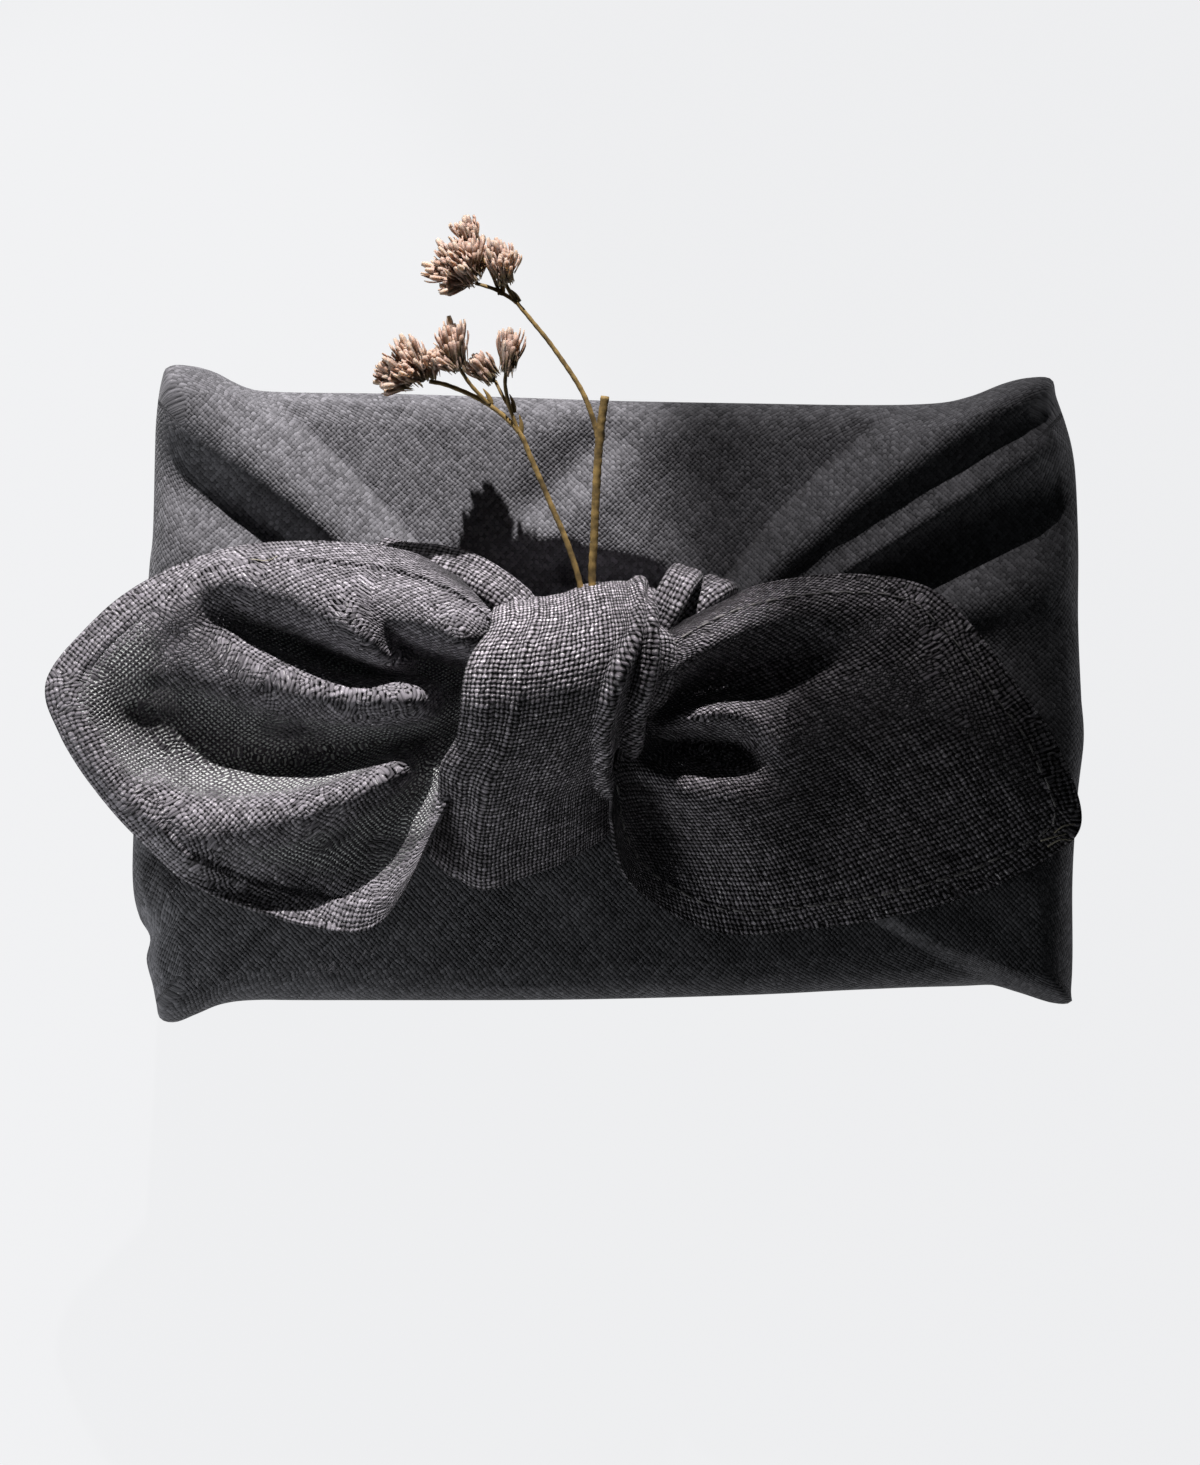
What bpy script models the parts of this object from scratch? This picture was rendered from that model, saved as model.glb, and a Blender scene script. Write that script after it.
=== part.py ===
"""Furoshiki wrap: one square linen cloth folded round a flat parcel and tied on top in a square knot.

The parcel lies on its back with +Z up. X runs from one free end of the knot to the other, Y across the
parcel. The origin is the middle of the flat underside. Lengths in this file are millimetres, bearings are
degrees, and meshes are written in metres.
"""
from collections import namedtuple
from math import cos, pi, radians, sin

import bmesh
import bpy
import numpy as np
from mathutils import Vector

MM = 0.001
OBJECT_NAME = "furoshiki_wrap"

# ---------------------------------------------------------------- driving dimensions
PARCEL_LENGTH = 161.0
PARCEL_WIDTH = 104.5
PARCEL_HEIGHT = 40.0
CLOTH_THICKNESS = 1.8
TAIL_THICKNESS = 2.0
SEAT_GAP = 0.3

# the squared seat the wrap stands on: half sizes, and the power of its rounded square
SEAT_HALF_LENGTH = 79.3
SEAT_HALF_WIDTH = 51.0
SEAT_SQUARENESS = 14.0
EAR_GROWTH = 1.6

# the mouth that the two flaps leave behind the knot
MOUTH_CENTRE = (-3.5, 23.6)
MOUTH_LENGTH = 24.0
MOUTH_WIDTH = 6.8
MOUTH_DEPTH = 12.0

# mesh steps
TOP_RINGS = 9
TOP_RING_SPACING = 0.94
MIDDLE_STEPS = 6
TAIL_STEPS_ACROSS = 32
TAIL_STEPS_OUT = 13
TAIL_STEP_SPACING = 0.85
KNOT_STEPS_ROUND = 26
KNOT_STEPS_ACROSS = 20
ROLL_STEPS = 9
# points per table row where a smooth curve is sampled, before it is read at a place
CURVE_SAMPLES = 40
# rays out of each gather, from +Y round the parcel's end to -Y: bearing where a run starts, and its steps
RayRun = namedtuple("RayRun", "bearing steps")
WEST_RAYS = (RayRun(90, 2), RayRun(72, 9), RayRun(45.9, 7), RayRun(28, 9), RayRun(-22, 9), RayRun(-48.8, 3),
             RayRun(-60, 3), RayRun(-90, 0))
EAST_RAYS = (RayRun(90, 2), RayRun(78, 12), RayRun(39.6, 8), RayRun(20, 7), RayRun(-24, 5), RayRun(-38.4, 5),
             RayRun(-60, 3), RayRun(-90, 0))

# plan of the wrapped parcel at the rim of its top: pointed ears at the corners, and the east and west walls
# pushed out where the wings fold over them
OUTLINE = (
    # east side, south to north
    (80.9, 0.0), (80.6, 14.0), (80.6, 28.5), (80.0, 40.0), (78.6, 48.0), (77.3, 53.2), (76.8, 56.2),
    # north side, east to west
    (73.2, 56.4), (68.6, 55.6), (62.0, 53.2), (55.3, 51.8), (41.8, 51.45), (21.7, 51.8), (0.4, 52.0),
    (-21.0, 52.7), (-41.0, 52.85), (-54.4, 53.0), (-61.8, 53.55), (-65.1, 54.6), (-68.4, 56.0),
    (-71.8, 57.75), (-75.8, 58.6), (-80.3, 58.5),
    # west side, north to south
    (-80.9, 56.0), (-80.9, 42.7), (-81.2, 29.2), (-81.9, 21.9), (-83.4, 0.0), (-84.7, -23.5), (-84.7, -32.7),
    (-83.3, -38.1), (-81.2, -41.3), (-82.2, -45.5), (-80.7, -50.4), (-80.5, -53.2), (-80.2, -55.8),
    # south side, west to east
    (-78.4, -56.4), (-74.7, -55.0), (-69.6, -53.2), (-63.5, -52.5), (-52.0, -52.5), (-10.0, -52.3),
    (21.5, -51.3), (39.9, -50.4), (58.4, -49.5), (63.9, -49.2), (70.7, -51.1), (76.8, -53.1), (79.9, -52.9),
    # east side again
    (79.6, -49.9), (79.3, -32.7), (80.5, -17.5), (80.9, 0.0),
)

# side wall: how far a ring lies inside the outline, and its height as a share of the parcel's height
WallRing = namedtuple("WallRing", "inset height")
WALL_RINGS = (
    WallRing(3.0, 0.0),
    WallRing(0.6, 0.045),
    WallRing(0.0, 0.30),
    WallRing(0.0, 0.62),
    WallRing(0.2, 0.86),
    WallRing(1.4, 0.955),
    WallRing(4.0, 0.995),
)
LIFT_GROWTH = 6
# the share of the outline at which the top's relief is read for the walls below it
RIM_SHARE = 0.98

# a fold that runs out of a gather: its bearing at the parcel's edge, from the gather's outward axis and
# positive towards +Y; its spread in degrees and its height, at the gather (near) and at the far end
Fold = namedtuple("Fold", "bearing spread_near spread_far height_near height_far")
# the folds swing as they near the gather: bearing at the parcel's edge, and the one it has at the gather
Swing = namedtuple("Swing", "far near")
Wing = namedtuple("Wing", "centre outward near far north_edge south_edge swings folds")

WEST_WING = Wing(
    centre=(-27.0, 3.5), outward=-1, near=24.0, far=77.0, north_edge=49.5, south_edge=-49.5,
    swings=(Swing(-180, -180), Swing(-90, -90), Swing(-49.5, -58), Swing(-35, -44), Swing(0, 0),
            Swing(30, 35), Swing(42.5, 52.4), Swing(49.5, 74.5), Swing(90, 90), Swing(180, 180)),
    folds=(
        Fold(43.5, 9.0, 5.4, 9.0, 5.0),
        Fold(34.5, 5.0, 4.0, -3.0, -2.5),
        Fold(24.0, 8.0, 6.0, 1.0, 2.2),
        Fold(12.0, 4.0, 3.0, -0.6, -1.0),
        Fold(-4.0, 9.0, 8.0, 0.8, 1.2),
        Fold(-27.0, 4.0, 3.0, -1.6, -2.4),
        Fold(-35.5, 5.5, 4.4, 4.0, 6.4),
    ),
)
EAST_WING = Wing(
    centre=(11.0, 1.8), outward=1, near=15.0, far=85.0, north_edge=45.5, south_edge=-39.5,
    swings=(Swing(-180, -180), Swing(-90, -90), Swing(-39.5, -73.5), Swing(-28, -40), Swing(0, 0),
            Swing(17, 15), Swing(33.5, 38), Swing(36.5, 47), Swing(39.5, 58), Swing(45.5, 75),
            Swing(90, 90), Swing(180, 180)),
    folds=(
        Fold(39.6, 7.0, 4.2, 9.5, 6.5),
        Fold(36.3, 3.0, 2.4, -3.0, -2.4),
        Fold(33.2, 4.4, 3.2, 5.6, 5.4),
        Fold(26.0, 4.6, 4.2, -2.6, -3.4),
        Fold(16.5, 6.5, 5.0, 2.0, 3.6),
        Fold(-6.0, 9.0, 8.0, 0.6, 1.4),
        Fold(-28.0, 8.0, 6.0, 1.0, 2.0),
        Fold(-37.0, 4.0, 3.0, 2.5, 1.2),
    ),
)
# a wing's own layer, and how it climbs to the knot
WING_LAYER = 1.2
WING_RISE = 11.0
WING_RISE_REACH = 14.0
SWING_SPEED = 0.55
# degrees over which a wing's edge comes down to the panel, and what is added to that at the gather
EDGE_SOFTNESS = 3.6
EDGE_SOFTNESS_AT_GATHER = 45.0
GATHER_BLEND = 6.0
FOLD_START = 16.0

# shallow creases of the flat panels: two end points, half width and height
Crease = namedtuple("Crease", "x1 y1 x2 y2 half_width height")
PANEL_CREASES = (
    Crease(4.0, 52.0, -19.0, 29.0, 4.5, -2.2),
    Crease(11.0, 51.0, -9.0, 29.0, 6.0, 1.4),
)

# ---------------------------------------------------------------- the two free ends
# outline from the knot's back, round the tip, to the knot's front; the root is where the cloth is gathered
# inside the knot, from its north side to its south side
FreeEnd = namedtuple("FreeEnd", "root outline folds")
# a line along a fold's crest or hollow, or along the hem, as points the cloth passes through
FoldLine = namedtuple("FoldLine", "name points")
WEST_END = FreeEnd(
    root=((-20.0, 12.5), (-24.5, -8.5)),
    outline=((-27.4, 20.8), (-35.5, 25.2), (-45.0, 26.8), (-57.0, 27.0), (-69.0, 25.2), (-82.0, 19.2),
             (-92.5, 11.6), (-99.6, 2.8), (-97.0, -6.5), (-91.0, -15.8), (-82.5, -25.2), (-72.5, -33.4),
             (-60.0, -38.0), (-52.0, -40.0), (-45.5, -40.4), (-41.0, -38.6), (-36.6, -33.0)),
    folds=(
        FoldLine("hem, far side", ((-24, 17.5, 60), (-32.7, 24.5, 57), (-43.2, 26.6, 54.5),
                                   (-55.5, 26.9, 53.5), (-66.8, 25.9, 53.5), (-82.1, 19.2, 54.5),
                                   (-90.5, 13.1, 55), (-99.8, 2.6, 54.5))),
        FoldLine("far rim", ((-25.7, 13.6, 64), (-32.7, 17.8, 62), (-41.5, 19.6, 60.5), (-52, 21.3, 60),
                             (-60.7, 22.4, 59.5), (-68.6, 22.4, 59), (-74.7, 19.6, 58.5), (-81.7, 14.9, 57.5),
                             (-88.7, 8.8, 57))),
        FoldLine("first fold", ((-37.6, 6.3, 59), (-43, 7.9, 60.5), (-50.2, 12.6, 61), (-56.3, 17.1, 61),
                                (-61.6, 18.9, 60.5), (-67.2, 20.3, 59.5))),
        FoldLine("lip over the hollow", ((-40.9, 13.6, 61.5), (-34.5, 12.2, 62.5), (-27.1, 9.4, 64))),
        FoldLine("hollow at the knot", ((-38.3, 9.4, 56), (-32.7, 7, 54), (-27.1, 5.6, 54))),
        FoldLine("upper hollow", ((-35.3, 3.5, 53), (-40.6, 4.4, 51), (-48.5, 6.6, 50), (-57.2, 10.5, 50),
                                  (-64.2, 14, 51), (-69.1, 16.4, 54))),
        FoldLine("second fold", ((-30.1, 1.8, 61), (-35.3, 1.2, 61), (-41.5, 1.6, 59.5), (-48.5, 1.8, 58.5),
                                 (-55.5, 3.5, 57.5), (-64.2, 6.6, 57), (-72.1, 10.1, 57), (-79.1, 10.5, 57))),
        FoldLine("large hollow", ((-28.3, -0.9, 53), (-34.5, -6.1, 50.5), (-43.2, -11, 47.5),
                                  (-53.7, -13.8, 46.5), (-64.2, -14.7, 46.5), (-74.7, -12.9, 47),
                                  (-83.5, -9.1, 48.5), (-87.8, -4.4, 52))),
        FoldLine("third fold", ((-38, -11.5, 57), (-47.8, -15.4, 57.5), (-57.7, -18.5, 57),
                                (-67.7, -19.8, 56.5), (-77.9, -17.5, 56.5), (-86.1, -13.6, 57))),
        FoldLine("front hollow", ((-32.4, -15.7, 49), (-38, -20.6, 48), (-43.2, -24.8, 47.5),
                                  (-50.2, -30.1, 47.5), (-57.2, -33.6, 47.5), (-64.2, -34.5, 48),
                                  (-70.3, -32.5, 49))),
        FoldLine("near rim", ((-31.7, -20.1, 54.5), (-34.5, -28, 53.5), (-38.8, -34.1, 52.5),
                              (-46.7, -37.6, 51))),
        FoldLine("west rim", ((-94.8, 1.8, 57), (-92.6, -6.1, 57.5), (-88.4, -14.9, 57.5), (-81.7, -22.4, 56),
                              (-74.7, -27.6, 54.5))),
        FoldLine("hem, near side", ((-31.5, -17.5, 55), (-32.7, -24.5, 54), (-38, -31.5, 52.5),
                                    (-42.3, -39.9, 51), (-57.2, -38.5, 50), (-70.3, -34.6, 50.5),
                                    (-80.8, -26.2, 52.5), (-84.7, -23.4, 53.5), (-92.2, -14, 55),
                                    (-97.5, -5.2, 55), (-99.8, 2.6, 54.5))),
    ),
)
EAST_END = FreeEnd(
    root=((4.0, 7.5), (-0.4, -11.5)),
    outline=((10.0, 13.0), (18.0, 17.0), (26.0, 20.4), (40.0, 22.0), (53.5, 20.0), (62.0, 13.0), (70.0, 2.5),
             (77.0, -8.0), (81.0, -22.2), (70.7, -30.3), (60.0, -34.8), (45.0, -38.6), (32.0, -40.2),
             (19.5, -41.0), (8.0, -36.6), (1.4, -30.4), (-0.9, -21.0)),
    folds=(
        FoldLine("hem, far side", ((11, 8.8, 66), (18, 13.6, 63), (24.7, 18.9, 60), (30.8, 21, 58),
                                   (40.1, 21.9, 56), (49.2, 21, 54.5), (60.9, 14, 53), (70, 2.3, 51.5),
                                   (80, -18, 50), (81.2, -22.2, 49.5))),
        FoldLine("far fold", ((7.5, 1.8, 66), (12.8, 7, 66), (18, 10.5, 64.5), (26.8, 14.9, 62),
                              (37.3, 17.5, 60), (47.8, 16.4, 58))),
        FoldLine("far hollow", ((8.9, -2.1, 57), (14.5, 0.3, 55.5), (21.5, 1.8, 53.5), (29.4, 3.5, 53.5),
                                (37.3, 7.9, 56))),
        FoldLine("arched fold", ((8.9, -4.9, 60), (12.4, -2.1, 61.5), (16.6, -0.9, 61.5), (21.5, -1.9, 61),
                                 (24.5, -4.7, 60), (25.7, -8.4, 59), (27.1, -12.6, 58))),
        FoldLine("hollow under the arch", ((8.9, -8.4, 52), (14.5, -8, 51.5), (19.8, -8.8, 50.5),
                                           (22.4, -10, 52))),
        FoldLine("lit fold", ((6.6, -12.9, 56), (12.8, -14, 57.5), (18.9, -14.5, 58), (25, -14.7, 58))),
        FoldLine("blade, far", ((35.5, 0, 58), (46, 1.8, 56.5), (56.5, 0, 54.5), (67, -10.5, 52.5))),
        FoldLine("blade, near", ((32, -22.8, 54.5), (42.5, -14, 56), (56.5, -17.5, 53.5))),
        FoldLine("blade, low", ((40, -27, 52), (46, -26.2, 52), (52, -25, 52))),
        FoldLine("near hollow", ((1.9, -15.7, 54), (4.9, -21, 50), (9.3, -26.2, 47.6), (14.5, -31.5, 46.6),
                                 (18.4, -35.3, 46.6))),
        FoldLine("near rim", ((0.2, -19.8, 56), (-0.5, -24.7, 54.5), (0.7, -30.8, 52.5), (3.8, -35.2, 50.5),
                              (9.3, -36.9, 49), (15.4, -40.1, 48))),
        FoldLine("hem, near side", ((19.8, -40.9, 47.4), (33.8, -39.7, 47.4), (45, -38.8, 47.5),
                                    (52.3, -36.9, 48), (61.4, -34.5, 48.5), (70.7, -30.3, 49),
                                    (78, -25.4, 49.5))),
        FoldLine("inner hem", ((25.9, -33.8, 48.8), (35.5, -33.6, 50), (46, -32.2, 50.3), (60, -28, 50.5),
                               (70.5, -23.6, 50.3))),
    ),
)
# the sheet through the fold lines: spacing of the held points, least distance between two of them, radius
# of the fold crests and how far the sheet may ease away from the points
HELD_PITCH = 4.5
HELD_DISTANCE = 1.5
CREST_RADIUS = 2.6
SHEET_EASE = 0.4

# ---------------------------------------------------------------- the knot's band
# section of the band: down is 0 at its far edge and 1 at the near one, and it goes round over the top
KnotTurn = namedtuple("KnotTurn", "down height")
KNOT_TURNS = (
    KnotTurn(0.0, 57.0), KnotTurn(0.015, 63.0), KnotTurn(0.09, 68.6), KnotTurn(0.20, 71.9),
    KnotTurn(0.33, 71.4), KnotTurn(0.47, 67.4), KnotTurn(0.61, 62.0), KnotTurn(0.75, 56.2),
    KnotTurn(0.87, 51.0), KnotTurn(0.97, 46.6), KnotTurn(1.0, 44.4), KnotTurn(0.95, 42.7),
    KnotTurn(0.75, 41.8), KnotTurn(0.40, 41.6), KnotTurn(0.15, 43.2), KnotTurn(0.03, 49.5),
    KnotTurn(0.0, 57.0),
)
# where the band's two sides lie along X on the way down
KnotSide = namedtuple("KnotSide", "down west east")
KNOT_SIDES = (
    KnotSide(0.0, -21.0, 6.4), KnotSide(0.08, -21.3, 7.5), KnotSide(0.18, -24.6, 9.9),
    KnotSide(0.28, -26.1, 10.2), KnotSide(0.42, -26.6, 8.3), KnotSide(0.52, -27.4, 5.6),
    KnotSide(0.62, -29.9, 3.4), KnotSide(0.73, -30.4, -0.2), KnotSide(0.85, -31.3, -1.1),
    KnotSide(1.0, -32.0, -1.0),
)
# across the band, -1 at its west side and 1 at its east: far and near edge along Y, and how full it is
KnotEnd = namedtuple("KnotEnd", "across far near crown")
KNOT_ENDS = (
    KnotEnd(-1.0, 15.0, -26.6, 0.91), KnotEnd(-0.85, 15.8, -28.8, 0.97), KnotEnd(-0.7, 16.4, -30.4, 1.0),
    KnotEnd(-0.45, 17.0, -32.4, 1.0), KnotEnd(-0.05, 17.9, -30.4, 1.0), KnotEnd(0.4, 19.8, -28.2, 1.0),
    KnotEnd(0.8, 19.2, -24.4, 0.93), KnotEnd(1.0, 16.6, -21.6, 0.74),
)
KNOT_FLOOR = 43.0
# pleats pulled into the band: height, half width as a share across, and the way down
Pleat = namedtuple("Pleat", "height width path")
PleatPoint = namedtuple("PleatPoint", "down across")
KNOT_PLEATS = (
    Pleat(-2.4, 0.10, (PleatPoint(0.0, 0.80), PleatPoint(0.10, 0.72), PleatPoint(0.30, 0.47),
                       PleatPoint(0.40, 0.42), PleatPoint(0.52, 0.50), PleatPoint(0.64, 0.68),
                       PleatPoint(0.75, 0.86), PleatPoint(1.0, 1.25))),
    Pleat(1.2, 0.10, (PleatPoint(0.0, 0.96), PleatPoint(0.18, 0.70), PleatPoint(0.42, 0.70),
                      PleatPoint(0.60, 0.90), PleatPoint(0.75, 1.1), PleatPoint(1.0, 1.4))),
    Pleat(-0.5, 0.20, (PleatPoint(0.0, 0.1), PleatPoint(0.3, -0.05), PleatPoint(0.6, 0.1),
                       PleatPoint(1.0, 0.2))),
)
# pleats die out on the band's underside: height where they start, and over what rise
PLEAT_START = 47.0
PLEAT_RISE = 8.0

# rolls of bunched cloth behind the knot, where the wings go in under it: radius, and points
Roll = namedtuple("Roll", "radius points")
BUNCH_ROLLS = (
    Roll(2.6, ((4.5, 8.0, 60.5), (8.0, 14.5, 63.0), (10.4, 19.2, 62.0), (11.6, 20.4, 56.5),
               (11.8, 19.8, 50.0), (11.6, 18.0, 43.0))),
    Roll(2.9, ((8.0, 9.5, 56.0), (14.0, 16.4, 56.6), (17.4, 18.6, 53.0), (18.4, 18.2, 47.4),
               (18.2, 16.6, 42.0))),
    Roll(4.4, ((-52.0, 22.0, 42.0), (-44.0, 24.0, 47.0), (-38.0, 23.0, 50.5), (-31.0, 22.2, 53.5),
               (-25.7, 20.5, 55.5), (-20.0, 17.0, 57.0), (-14.0, 12.0, 57.5))),
)

# ---------------------------------------------------------------- the two dried sprigs
# each stem: radius, and points from the socket in the knot to the tip
Stem = namedtuple("Stem", "radius points")
WEST_SPRIG = (
    Stem(0.65, ((-5.4, 10.0, 60.8), (-6.3, 19.3, 61.8), (-8.6, 27.0, 62.8), (-11.6, 34.1, 63.6),
                (-14.9, 41.8, 64.2), (-17.3, 46.8, 64.6), (-22.6, 51.4, 65.2), (-29.0, 54.4, 66.0),
                (-32.6, 55.2, 66.4))),
    Stem(0.45, ((-17.1, 46.4, 64.5), (-18.6, 50.6, 65.6), (-19.4, 54.3, 67.0), (-19.3, 56.6, 67.8))),
    Stem(0.45, ((-22.2, 51.2, 65.2), (-25.4, 54.6, 66.6), (-27.2, 57.3, 67.6))),
    Stem(0.40, ((-18.3, 50.0, 65.3), (-20.0, 53.0, 64.6), (-21.2, 55.4, 63.9))),
)
EAST_SPRIG = (
    Stem(0.80, ((-2.9, 10.0, 60.8), (-4.3, 19.8, 62.2), (-4.0, 28.0, 63.6), (-3.6, 37.0, 65.0),
                (-3.0, 46.0, 66.4), (-2.1, 52.6, 67.3))),
    Stem(0.50, ((-3.1, 45.0, 66.2), (-5.8, 52.9, 67.0), (-11.0, 60.9, 67.6), (-14.9, 65.8, 68.0),
                (-17.8, 69.4, 68.2), (-19.7, 72.7, 68.8))),
    Stem(0.45, ((-17.4, 68.9, 68.2), (-20.9, 70.6, 67.8), (-24.6, 71.0, 67.6))),
    Stem(0.40, ((-20.3, 70.3, 67.9), (-22.0, 74.4, 66.4), (-24.6, 78.6, 65.2))),
)

# each head: the end of the stem it sits on, its direction, the florets in it, their length and how far
# they splay from the head's direction, in degrees
Head = namedtuple("Head", "sprig stem direction florets length splay")
HEADS = (
    Head("west", 0, (-0.85, 0.50, 0.15), 6, 8.0, 36.0),
    Head("west", 1, (0.12, 0.96, 0.25), 2, 6.8, 13.0),
    Head("west", 2, (-0.30, 0.92, 0.25), 3, 7.0, 16.0),
    Head("west", 3, (-0.60, 0.78, -0.20), 2, 5.2, 15.0),
    Head("east", 1, (-0.02, 0.95, 0.32), 3, 6.6, 17.0),
    Head("east", 2, (-0.88, 0.44, 0.20), 6, 8.0, 36.0),
    Head("east", 3, (-0.05, 0.98, -0.10), 2, 5.4, 14.0),
)
FLORET_SIDES = 9
FLORET_STANDOFF = 0.5
FLORET_SPIN = 0.6
FLORET_SHORTENING = 0.07
CROWDED_HEAD = 5
# a floret's cup: share of its length, and radius there
FLORET_PROFILE = ((0.0, 0.42), (0.30, 0.95), (0.62, 1.75), (0.86, 2.15), (1.0, 1.70))

# ---------------------------------------------------------------- colours
LINEN = (0.036, 0.034, 0.042)
STEM_OCHRE = (0.30, 0.20, 0.06)
FLOWER_ROSE = (0.33, 0.20, 0.16)

# ================================================================= helpers
def mix(a, b, share):
    return a + (b - a) * share


def smooth(value):
    value = np.clip(value, 0.0, 1.0)
    return value * value * (3.0 - 2.0 * value)


def bump(height, off, spread):
    return height * np.exp(-(off / spread) ** 2)


def curve_through(points, places):
    """Smooth open curve through a table of points, read at places from 0 to 1 of their count."""
    points = np.asarray(points, float)
    last = len(points) - 1
    place = np.clip(places, 0.0, 1.0) * last
    index = np.minimum(place.astype(int), last - 1)
    t = (place - index)[:, None]
    before, start, end, after = (points[np.clip(index + k, 0, last)] for k in (-1, 0, 1, 2))
    return 0.5 * (2 * start + (end - before) * t + (2 * before - 5 * start + 4 * end - after) * t * t
                  + (3 * start - before - 3 * end + after) * t ** 3)


def curve_value(places, values, at):
    """A smooth curve through values at places, read at other places."""
    table = np.stack([places, values], axis=1)
    dense = curve_through(table, np.linspace(0.0, 1.0, CURVE_SAMPLES * len(table)))
    return np.interp(at, dense[:, 0], dense[:, 1])


def evenly(points, pitch):
    """The same line with points at one pitch along it."""
    run = np.concatenate([[0.0], np.cumsum(np.linalg.norm(np.diff(points, axis=0), axis=1))])
    count = max(int(round(run[-1] / pitch)), 1)
    at = np.linspace(0.0, run[-1], count + 1)
    return np.stack([np.interp(at, run, column) for column in points.T], axis=1)


def new_mesh_object(name, vertices, faces, material):
    """A mesh object from vertices in millimetres, in the part's collection."""
    mesh = bpy.data.meshes.new(name)
    mesh.from_pydata([tuple(value * MM for value in vertex) for vertex in vertices], [], faces)
    mesh.materials.append(material)
    mesh.shade_smooth()
    thing = bpy.data.objects.new(name, mesh)
    bpy.data.collections[OBJECT_NAME].objects.link(thing)
    return thing


def principled(name, colour, roughness):
    material = bpy.data.materials.new(name)
    material.use_nodes = True
    shader = material.node_tree.nodes["Principled BSDF"]
    shader.inputs["Base Color"].default_value = (*colour, 1.0)
    shader.inputs["Roughness"].default_value = roughness
    shader.inputs["Metallic"].default_value = 0.0
    return material


def apply_modifiers(thing):
    """Swap the object's mesh for the one its modifiers make."""
    evaluated = thing.evaluated_get(bpy.context.evaluated_depsgraph_get())
    mesh = bpy.data.meshes.new_from_object(evaluated)
    thing.modifiers.clear()
    thing.data = mesh


def join_solids(target, others):
    """Union of closed solids, kept in the target."""
    for other in others:
        union = target.modifiers.new("join", "BOOLEAN")
        union.operation = "UNION"
        union.solver = "EXACT"
        union.object = other
        apply_modifiers(target)
        bpy.data.objects.remove(other)


def grid_faces(rows, columns, closed):
    """Quads between rows of points; a closed grid joins the last column to the first."""
    faces = []
    for row in range(rows - 1):
        for column in range(columns if closed else columns - 1):
            right = (column + 1) % columns
            faces.append((row * columns + column, row * columns + right,
                          (row + 1) * columns + right, (row + 1) * columns + column))
    return faces


# ================================================================= folds
def along_wing(wing, distance):
    return np.clip((distance - wing.near) / (wing.far - wing.near), 0.0, 1.0) ** SWING_SPEED


def bearing_from(wing, x, y):
    """Distance and bearing of points from a wing's gather."""
    dx, dy = (x - wing.centre[0]) * wing.outward, y - wing.centre[1]
    return np.hypot(dx, dy), np.degrees(np.arctan2(dy, dx))


def turned_by(wing, along, bearing, outwards):
    """Follow the swing of a wing's folds: from the bearing here to the one at the edge, or back again."""
    result = bearing.copy()
    for low, high in reversed(list(zip(wing.swings, wing.swings[1:]))):
        here_low, here_high = mix(low.near, low.far, along), mix(high.near, high.far, along)
        if outwards:
            share, fits = (bearing - here_low) / (here_high - here_low), bearing <= here_high
            value = mix(low.far, high.far, share)
        else:
            share, fits = (bearing - low.far) / (high.far - low.far), bearing <= high.far
            value = mix(here_low, here_high, share)
        result = np.where(fits, value, result)
    return result


def wing_height(wing, x, y):
    """Height of a wing above the flat panel: its layer, its rise to the knot and its folds."""
    distance, bearing = bearing_from(wing, x, y)
    along = along_wing(wing, distance)
    place = turned_by(wing, along, bearing, outwards=True)
    softness = EDGE_SOFTNESS + EDGE_SOFTNESS_AT_GATHER * np.exp(-distance / GATHER_BLEND)
    inside = smooth((wing.north_edge - place) / softness + 0.5)
    inside = inside * smooth((place - wing.south_edge) / softness + 0.5)
    inside = mix(0.5, inside, smooth(distance / GATHER_BLEND))
    rise = WING_RISE * np.exp(-(distance / WING_RISE_REACH) ** 2)
    folds = sum(bump(mix(fold.height_near, fold.height_far, along), place - fold.bearing,
                     mix(fold.spread_near, fold.spread_far, along)) for fold in wing.folds)
    return inside * (WING_LAYER + rise + folds * smooth(distance / FOLD_START))


def crease_height(crease, x, y):
    """A soft straight crease that dies out at both ends."""
    run_x, run_y = crease.x2 - crease.x1, crease.y2 - crease.y1
    off_x, off_y = x - crease.x1, y - crease.y1
    length = np.hypot(run_x, run_y)
    share = (off_x * run_x + off_y * run_y) / length ** 2
    across = np.abs(run_x * off_y - run_y * off_x) / length
    return bump(crease.height, across, crease.half_width) * smooth(4 * share) * smooth(4 * (1 - share))


def relief(x, y):
    """Height of the cloth above the parcel's top."""
    height = wing_height(WEST_WING, x, y) + wing_height(EAST_WING, x, y)
    return height + sum(crease_height(crease, x, y) for crease in PANEL_CREASES)


# ================================================================= the wrapped parcel
Stations = namedtuple("Stations", "edge gather wing")


def ray_bearings(runs):
    bearings = []
    for run, following in zip(runs, runs[1:]):
        bearings += [mix(run.bearing, following.bearing, step / run.steps) for step in range(run.steps)]
    return bearings + [runs[-1].bearing]


def on_rays(wing, outline, bearings):
    """Where rays from a gather leave the outline, on the wing's own side of it."""
    _, found = bearing_from(wing, outline[:, 0], outline[:, 1])
    order = np.argsort(found)
    return np.stack([np.interp(bearings, found[order], column[order]) for column in outline.T], axis=1)


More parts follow.
